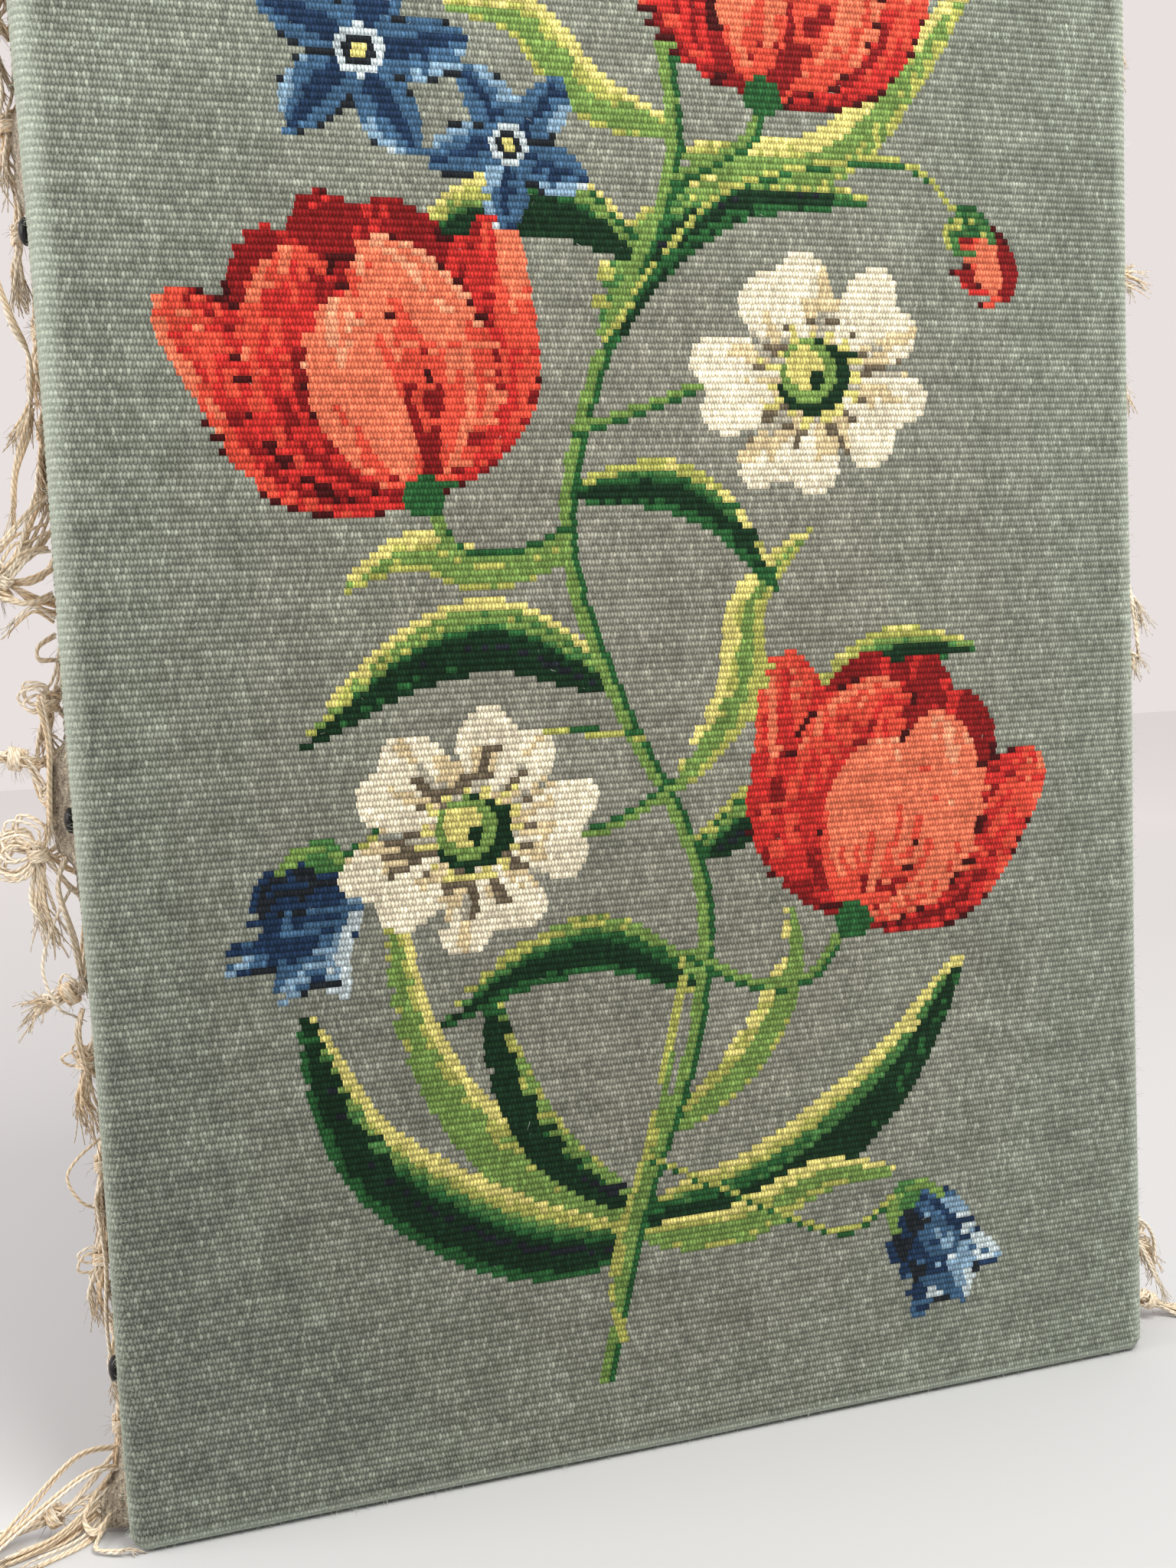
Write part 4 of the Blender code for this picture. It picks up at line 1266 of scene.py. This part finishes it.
def knot_bunch(heap, side, flare, number, row, lots):
    """Gathers one bunch's warps, ties them and lets their tails hang; the lowest bunch's lie down."""
    knot_out, knot_drop, tail_out, tail_drop, layer, loops = row
    _, middle, way = heading_ends(side, flare, BUNDLE_PITCH * (number + 0.5))
    outward = np.array((side, 0, 0))
    knot = middle + outward * knot_out + (0, layer, -knot_drop)
    end = middle + outward * tail_out + (0, layer, -tail_drop)
    tail_way = (end - knot) / np.linalg.norm(end - knot)
    across = np.array((-side * tail_way[2], 0, abs(tail_way[0])))
    heights = BORDER_LOW + RIB_PITCH * (np.arange(RIB_COUNT) + 0.5)
    heights = heights[(heights >= number * BUNDLE_PITCH) & (heights < (number + 1) * BUNDLE_PITCH)]
    count = len(heights)
    on_floor = number == 0
    snug = 0.55 if knot_out < 2 else 1.0
    knot_size = lots.uniform(2.2, 3.2) * snug
    sag = lots.uniform(1.0, 5.0) * (not on_floor) * snug
    gathers = lots.integers(2, 5)
    order = lots.permutation(count)
    for j, z in enumerate(heights):
        rank = int(order[j])
        _, root, root_way = heading_ends(side, flare, z)
        gather = (j * gathers // count + 0.5) * count / gathers
        drawn_to = heights[0] + RIB_PITCH * (gather - 0.5)
        packed = PACKED_RADIUS * snug * math.sqrt((rank + 0.5) / count)
        turn = PACKING_TURN * rank
        spot = packed * (math.cos(turn) * across + math.sin(turn) * DEEP)
        knot_in = knot + spot - INTO_KNOT * tail_way
        leaving = root + 2.6 * root_way + (0, 0, 0.6 * (drawn_to - z)) + lots.uniform(-0.4, 0.4, 3)
        slack = lots.uniform(-1, 1, 3) * (snug, 1.6, 1.0)
        slack -= (side * 0.25 * sag, 0, sag * lots.uniform(0.5, 1.1))
        start = [root - 1.5 * root_way, leaving, leaving * 0.5 + knot_in * 0.5 + slack, knot_in]
        if rank % 2:
            shift = (rank / count - 0.5) * WRAPS_APART
            through = wrap_round(knot, knot_size, across, tail_way, shift, lots.uniform(-0.3, 0.3))
        else:
            through = [knot + 0.8 * spot]
        spread = (rank / (count - 1) - 0.5) * 2
        tip = end + across * spread * TIPS_APART * snug
        tip += DEEP * lots.uniform(-3, 3)
        tip += tail_way * lots.uniform(-6, 2.5)
        leave = knot + spot + OUT_OF_KNOT * tail_way
        bend = (leave + tip) / 2 + outward * 0.12 * snug * np.linalg.norm(tip - leave)
        bend += lots.uniform(-1.4, 1.4, 3) * snug
        if on_floor:
            lying = YARN_RADIUS * (1 + 2 * (rank % 3 == 0))
            tip[1] += spread * FLOOR_TIPS_APART
            bend[1] += spread * 3
            tip[2] = lying
            bend[2] = lying + 0.2
        tail = curve_through([leave, bend, tip], 9)
        route = curve_through([*start, *through, leave], 12 + 2 * len(through))
        yarn_with_tail(heap, route, tail, lots.integers(5, 8), lots, on_floor)
    add_loops(heap, knot, outward, loops, lots)
    add_knot_hairs(heap, knot, knot_size, lots)


# %% Yarns that escaped their knots and hang along the sides
LEFT_STRAYS = (
    # points as (out from the panel's edge, depth, height), then the yarns side by side
    (((8, 4, 470), (5, 5, 456), (6, 5, 440), (3, 6, 424)), 4),
    (((3, 6, 452), (6, 5, 436), (4, 5, 420), (6, 4, 408)), 3),
    (((11, 2, 381), (8.7, 3, 368), (5.3, 4, 356), (2.2, 5, 348), (2.2, 5, 339), (3, 6, 329)), 4),
    (((2, 6, 334), (5, 5, 329), (7.5, 4, 325)), 4),
    (((2, 6, 332), (4.5, 5, 326), (8, 4, 315), (9.5, 4, 302)), 3),
    (((0.5, 7, 309), (6.5, 5, 303), (15, 3, 294)), 2),
    (((1, 7, 299), (6, 6, 297), (10.5, 5, 295), (15.5, 3, 289)), 2),
    (((1, 7, 293), (5, 6, 293), (9, 5, 291), (15, 3, 286)), 3),
    (((1, 7, 280), (7.5, 5, 278), (14, 4, 280), (17, 3, 281)), 4),
    (((1, 7, 272), (6, 5, 275.5), (13, 4, 271)), 2),
    (((1, 7, 270), (5.5, 5, 267), (5.5, 5, 263), (1, 7, 263)), 2),
    (((7, 4, 250), (5, 3, 238), (6, 2, 224), (7, 2, 212)), 4),
    (((3, 5, 205), (6, 4, 196), (2.5, 5, 180), (1.5, 6, 168)), 4),
    (((2.5, 6, 196), (9, 4, 184), (12, 3, 172), (8.5, 4, 161), (5, 5, 158)), 1),
    (((2, 6, 158), (4, 5, 150), (1.5, 6, 136)), 3),
    (((0.5, 7, 118), (7.5, 5, 113), (10, 5, 107), (6.5, 5, 100), (2, 6, 97)), 1),
    (((2, 6, 100), (1.5, 6, 80), (2, 6, 62), (1, 6, 40)), 2),
    (((1, 8, 22), (14, 6, 22), (30, 2, 10), (40, -4, 1)), 3),
    (((2, 7, 18), (10, 4, 20), (22, 1, 14), (46, -8, 1)), 3),
    (((2, 6, 14), (10, 2, 9), (22, -3, 3), (40, -8, 1)), 5),
    (((1, 7, 10), (9, 4, 5), (20, 0, 1.5), (36, -5, 1)), 5),
    (((1, 8, 7), (7, 3, 3), (15, -4, 1), (30, -12, 1)), 4),
    (((2, 6, 12), (6, 2, 3), (10, -8, 1), (5, -13, 1), (0, -14, 1)), 2),
    (((4, 5, 16), (9, 3, 12), (13, 0, 6), (9, -3, 3), (3, 3, 8)), 3),
)
RIGHT_STRAYS = (
    (((6, 8, 384), (12, 8, 377), (19, 7, 374)), 3),
    (((6, 8, 286), (12, 8, 276), (16, 8, 258), (17, 8, 244)), 3),
    (((6, 8, 36), (14, 7, 38), (20, 6, 30), (19, 5, 18)), 2),
    (((6, 8, 28), (13, 7, 29), (17, 6, 22), (22, 4, 10)), 3),
)


def hang_strays(heap, side, strays, lots):
    """Stray yarns along their routes, each a little off the next; those that end low lie down."""
    for path, yarns in strays:
        for strand in range(yarns):
            offset = lots.uniform(-0.8, 0.8, 3) * (0.6, 1.2, 2.0)
            line = []
            for out, depth, z in path:
                spot = np.array((side * (PANEL_WIDTH / 2 + out + 1), depth, z))
                line.append(spot + offset + lots.uniform(-0.5, 0.5, 3))
            route = curve_through(line, 26)
            yarn_with_tail(heap, route[:17], route[16:], 6, lots, path[-1][2] <= 1)


def warp_ends(name, side, flare, bundles, strays, seed):
    """One side's warp ends, in two pieces: the lower bunches with the strays, and the upper ones."""
    pieces = []
    for part in range(2):
        heap = Strands()
        half = len(bundles) // 2
        for number in range(part * half, (part + 1) * half):
            knot_bunch(heap, side, flare, number, bundles[number], np.random.default_rng(seed + number))
        if part == 0:
            hang_strays(heap, side, strays, np.random.default_rng(seed + 50))
        pieces.append(heap.build(f"{name}_{part + 1}"))
    return pieces


left_ends = warp_ends("warp_ends_left", -1, LEFT_FLARE, LEFT_BUNDLES, LEFT_STRAYS, 100)
right_ends = warp_ends("warp_ends_right", 1, RIGHT_FLARE, RIGHT_BUNDLES, RIGHT_STRAYS, 200)
for obj in (*left_ends, *right_ends):
    print(obj.name, "triangles:", sum(len(p.vertices) - 2 for p in obj.data.polygons))


# %% Material: two-ply cotton warp, undyed
PLY_TURN = 4.5  # along the yarn, for one turn of its two plies


def two_ply_cotton():
    """Pale straw yarn with a slanting groove between its plies, painted darker there as shade, each end its
    own tone.
    """
    finish, tree, shader = new_finish("two_ply_cotton", roughness=0.8, specular=0.3, sheen=0.25,
                                      sheen_tint="#FFF3D8")
    place = add(tree, "Attribute", attribute_name="strand_place", output="Vector")
    strand = add(tree, "SeparateXYZ", place).node.outputs
    twist = add(tree, "Math MULTIPLY_ADD", strand["Y"], 1 / PLY_TURN, strand["X"])
    ply = add(tree, "Math ABSOLUTE", add(tree, "Math SINE", add(tree, "Math MULTIPLY", twist, math.tau)))
    lot = add(tree, "Math MULTIPLY_ADD", strand["Z"], 0.45, 0.55)
    fuzz = add(tree, "TexNoise", Vector=place, Scale=3.0, Detail=3.0)
    fibre = add(tree, "Math MULTIPLY_ADD", fuzz, 0.9, 0.55)
    yarn = add(tree, "ValToRGB", add(tree, "Math MULTIPLY", lot, fibre),
               stops=((0.2, "#C09068"), (0.55, "#EFD3AE"), (0.9, "#FFF1DC")))
    # Painted shade: the yarn is darker in the groove between its plies.
    painted_groove_shade = add(tree, "Math MULTIPLY_ADD", ply, 0.42, 0.60)
    tree.links.new(add(tree, "VectorMath SCALE", yarn, Scale=painted_groove_shade), shader.inputs["Base Color"])
    tree.links.new(add(tree, "Bump", Height=ply, Distance=0.15 * MM), shader.inputs["Normal"])
    return finish


# %% Material: the heading's coarse brown and cream yarn
def heading_weave():
    """Mottled undyed yarn, whose brown and cream stretches run up the band."""
    finish, tree, shader = new_finish("coarse_heading_yarn", roughness=0.95, specular=0.2, sheen=0.15)
    place = add(tree, "Attribute", attribute_name="heading_place", output="Vector")
    drawn_up = add(tree, "VectorMath MULTIPLY", place, (0.9, 0.35, 1))
    bands = add(tree, "TexNoise", Vector=drawn_up, Scale=1.0, Detail=4.0)
    grain = add(tree, "TexNoise", Vector=place, Scale=1.6, Detail=2.0)
    mottle = add(tree, "Math MULTIPLY_ADD", grain, 0.5, add(tree, "Math MULTIPLY", bands, 0.6))
    yarn = add(tree, "ValToRGB", mottle, stops=((0.36, "#4E4030"), (0.54, "#95897A"), (0.72, "#D0C3A8")))
    tree.links.new(yarn, shader.inputs["Base Color"])
    tree.links.new(add(tree, "Bump", Height=grain, Distance=0.3 * MM), shader.inputs["Normal"])
    return finish


cotton = two_ply_cotton()
coarse = heading_weave()
for band, ends, node in ((heading_left, left_ends, "warp_fringe_left"),
                         (heading_right, right_ends, "warp_fringe_right")):
    band.data.materials.append(coarse)
    for obj in ends:
        obj.data.materials.append(cotton)
    for obj in (band, *ends):
        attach(obj, "root")
        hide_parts(node)

# %% [markdown]
# ## Nap
#
# Where the cloth turns an edge its hairs stand clear and blur the outline. Each hair is a
# slender closed spike. Real hairs are a third as thick; these are drawn coarser to be seen
# at all.

# %% Raise the nap along the turned edges
NAP_RADIUS = 0.05
NAP_TIP = 0.02
NAP_HAIRS = 4200


def raise_nap(count, seed):
    """Most hairs stand at the sides, some along the top and foot and a few on the face."""
    heap = Strands()
    lots = np.random.default_rng(seed)
    for hair in range(count):
        spot = lots.uniform()
        reach = lots.uniform(-1.5, 7)
        if spot < 0.7:
            u = lots.choice((-1, 1), p=(0.62, 0.38)) * (BORDER_X + reach)
            v = lots.uniform(BORDER_LOW, BORDER_HIGH)
        elif spot < 0.9:
            u = lots.uniform(-BORDER_X, BORDER_X)
            v = lots.choice((BORDER_LOW - min(reach, 3.5), BORDER_HIGH + reach), p=(0.7, 0.3))
        else:
            u = lots.uniform(-BORDER_X, BORDER_X)
            v = lots.uniform(BORDER_LOW, BORDER_HIGH)
        root = np.array(cloth_point(u, v, 0, 0.0)) / MM
        out = np.array(cloth_point(u, v, 0, 1.0)) / MM - root
        length = lots.uniform(0.7, 1.9)
        lean = lots.uniform(-0.9, 0.9, 3)
        curl = lots.uniform(-0.7, 0.7, 3) * length
        line = curve_through([root, root + (out + 0.4 * lean) * length * 0.6,
                              root + (out + lean) * length + curl * 0.5], 4)
        heap.add(line, (NAP_RADIUS, NAP_RADIUS, NAP_RADIUS * 0.8, NAP_TIP), 3, lots.uniform(0, 1))
    return heap.build("wool_nap")


def raised_wool_nap():
    """Loose hairs, some darker and some paler than the ground."""
    finish, tree, shader = new_finish("raised_wool_nap", roughness=0.9, specular=0.2, sheen=0.3)
    place = add(tree, "Attribute", attribute_name="strand_place", output="Vector")
    lot = add(tree, "SeparateXYZ", place).node.outputs["Z"]
    colour = add(tree, "ValToRGB", lot, stops=((0, "#8F9788"), (1, "#D3DACB")))
    tree.links.new(colour, shader.inputs["Base Color"])
    return finish


nap = raise_nap(NAP_HAIRS, 5)
nap.data.materials.append(raised_wool_nap())
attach(nap, "root")
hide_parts("tapestry_cloth")
print("nap triangles:", sum(len(p.vertices) - 2 for p in nap.data.polygons))

# %% [markdown]
# ## Tacks
#
# Upholsterer's cut tacks with domed heads, blued by heat, so they are nearly black with a
# soft gloss. We turn a smooth dome and set one over each packed head.


# %% Turn a tack's head and set the fourteen of them
TACK_RADIUS = 3.8
TACK_RISE = 2.2
TACK_RIM = 0.3
TACK_SIDES = 36
TACK_RINGS = 9


def blued_steel():
    """Nearly black, with a soft gloss and faint rusty spots."""
    finish, tree, shader = new_finish("blued_steel", roughness=0.42, metallic=0.85)
    spots = add(tree, "TexNoise", Vector=add(tree, "TexCoord", output="Object"), Scale=900.0, Detail=3.0)
    colour = add(tree, "ValToRGB", spots, stops=((0, "#141518"), (1, "#3A3838")))
    tree.links.new(colour, shader.inputs["Base Color"])
    tree.links.new(add(tree, "Bump", Height=spots, Distance=0.08 * MM), shader.inputs["Normal"])
    return finish


def turn_tack():
    """A shallow dome over a thin rim, turned round its axis and closed below."""
    points = [(0, 0, 0)]
    dome_radius = TACK_RADIUS * 0.985
    outline = [(TACK_RADIUS * 0.97, 0), (TACK_RADIUS, 0.12), (dome_radius, TACK_RIM)]
    for ring in range(1, TACK_RINGS):
        angle = ring / TACK_RINGS * QUARTER
        outline.append((dome_radius * math.cos(angle), TACK_RIM + (TACK_RISE - TACK_RIM) * math.sin(angle)))
    for radius, height in outline:
        for k in range(TACK_SIDES):
            turn = k / TACK_SIDES * math.tau
            points.append((radius * math.cos(turn), radius * math.sin(turn), height))
    points.append((0, 0, TACK_RISE))
    faces = []
    for k in range(TACK_SIDES):
        following = (k + 1) % TACK_SIDES
        faces.append((0, 1 + following, 1 + k))
        for ring in range(len(outline) - 1):
            low = 1 + ring * TACK_SIDES
            high = low + TACK_SIDES
            faces.append((low + k, low + following, high + following, high + k))
        top = 1 + (len(outline) - 1) * TACK_SIDES
        faces.append((top + k, top + following, len(points) - 1))
    mesh = bpy.data.meshes.new("turned_tack")
    mesh.from_pydata([[c * MM for c in p] for p in points], [], faces)
    mesh.shade_smooth()
    mesh.materials.append(blued_steel())
    return mesh


tack_mesh = turn_tack()
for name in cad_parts:
    if "_tack_" not in name:
        continue
    low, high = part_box(name)
    middle = (Vector(low) + Vector(high)) / 2
    head = bpy.data.objects.new(name.replace("tack", "domed_tack"), tack_mesh)
    if name.startswith("side_tack_left"):
        seat, turned = (high[0], middle.y, middle.z), Matrix.Rotation(-QUARTER, 4, "Y")
    elif name.startswith("side_tack_right"):
        seat, turned = (low[0], middle.y, middle.z), Matrix.Rotation(QUARTER, 4, "Y")
    else:
        seat, turned = (middle.x, low[1], middle.z), Matrix.Rotation(-QUARTER, 4, "X")
    head.matrix_world = Matrix.Translation(seat) @ turned
    bpy.context.scene.collection.objects.link(head)
    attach(head, "root")
    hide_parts(name)

# %% [markdown]
# ## Pine stretcher
#
# Four planed pine bars, mitred at the corners. Flat-sawn pine shows long nested arches of
# pale early wood and amber late wood along each bar. We take a slice through rings that
# lie round an axis along the bar, bent by slow noise.


# %% Material: planed pine, one for upright bars and one for level bars
def planed_pine(name, upright):
    """Pale satin wood, its grain drawn out along the bar, with fine pores across the light."""
    finish, tree, shader = new_finish(name, roughness=0.55, specular=0.35)
    place = add(tree, "TexCoord", output="Object")
    squeeze = (1, 1, 0.06) if upright else (0.06, 1, 1)
    squeezed = add(tree, "VectorMath MULTIPLY", place, squeeze)
    wander = add(tree, "TexNoise", Vector=squeezed, Scale=14.0, Detail=2.0, output="Color")
    shifted = add(tree, "VectorMath MULTIPLY_ADD", wander, (0.03, 0.03, 0.03), squeezed)
    off_axis = (0.02, 0.07, 0) if upright else (0, 0.07, 0.02)
    moved = add(tree, "VectorMath ADD", shifted, off_axis)
    rings = add(tree, "TexWave", Vector=moved, Scale=68.0, Distortion=2.6, Detail=2.0, wave_type="RINGS",
                rings_direction="Z" if upright else "X", wave_profile="SAW", output="Fac")
    fineness = (900, 900, 18) if upright else (18, 900, 900)
    along_grain = add(tree, "VectorMath MULTIPLY", place, fineness)
    pores = add(tree, "TexNoise", Vector=along_grain, Scale=1.0, Detail=2.0)
    wood = add(tree, "ValToRGB", rings, stops=((0.1, "#DEC397"), (0.7, "#D8B886"), (0.97, "#C9A06B")))
    streak = add(tree, "Math MULTIPLY_ADD", pores, 0.3, 0.83)
    tree.links.new(add(tree, "VectorMath SCALE", wood, Scale=streak), shader.inputs["Base Color"])
    tree.links.new(add(tree, "Bump", Height=pores, Distance=0.05 * MM), shader.inputs["Normal"])
    return finish


upright_pine = planed_pine("planed_pine_upright", True)
level_pine = planed_pine("planed_pine_level", False)
for word in ("left", "right", "top", "bottom"):
    pine = upright_pine if word in ("left", "right") else level_pine
    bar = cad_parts["stretcher_bar_" + word]
    bar.data.materials.clear()
    bar.data.materials.append(pine)
print("bars dressed in pine")

# %% [markdown]
# ## The cloth, and the last measurement
#
# The cloth is one stretched sheet. The nap, headings, warp ends and tacks are fixed to it.
# Last, the box round everything that is shown is measured.

low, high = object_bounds()
print("visual box in mm:", [round(x / MM, 1) for x in high - low])
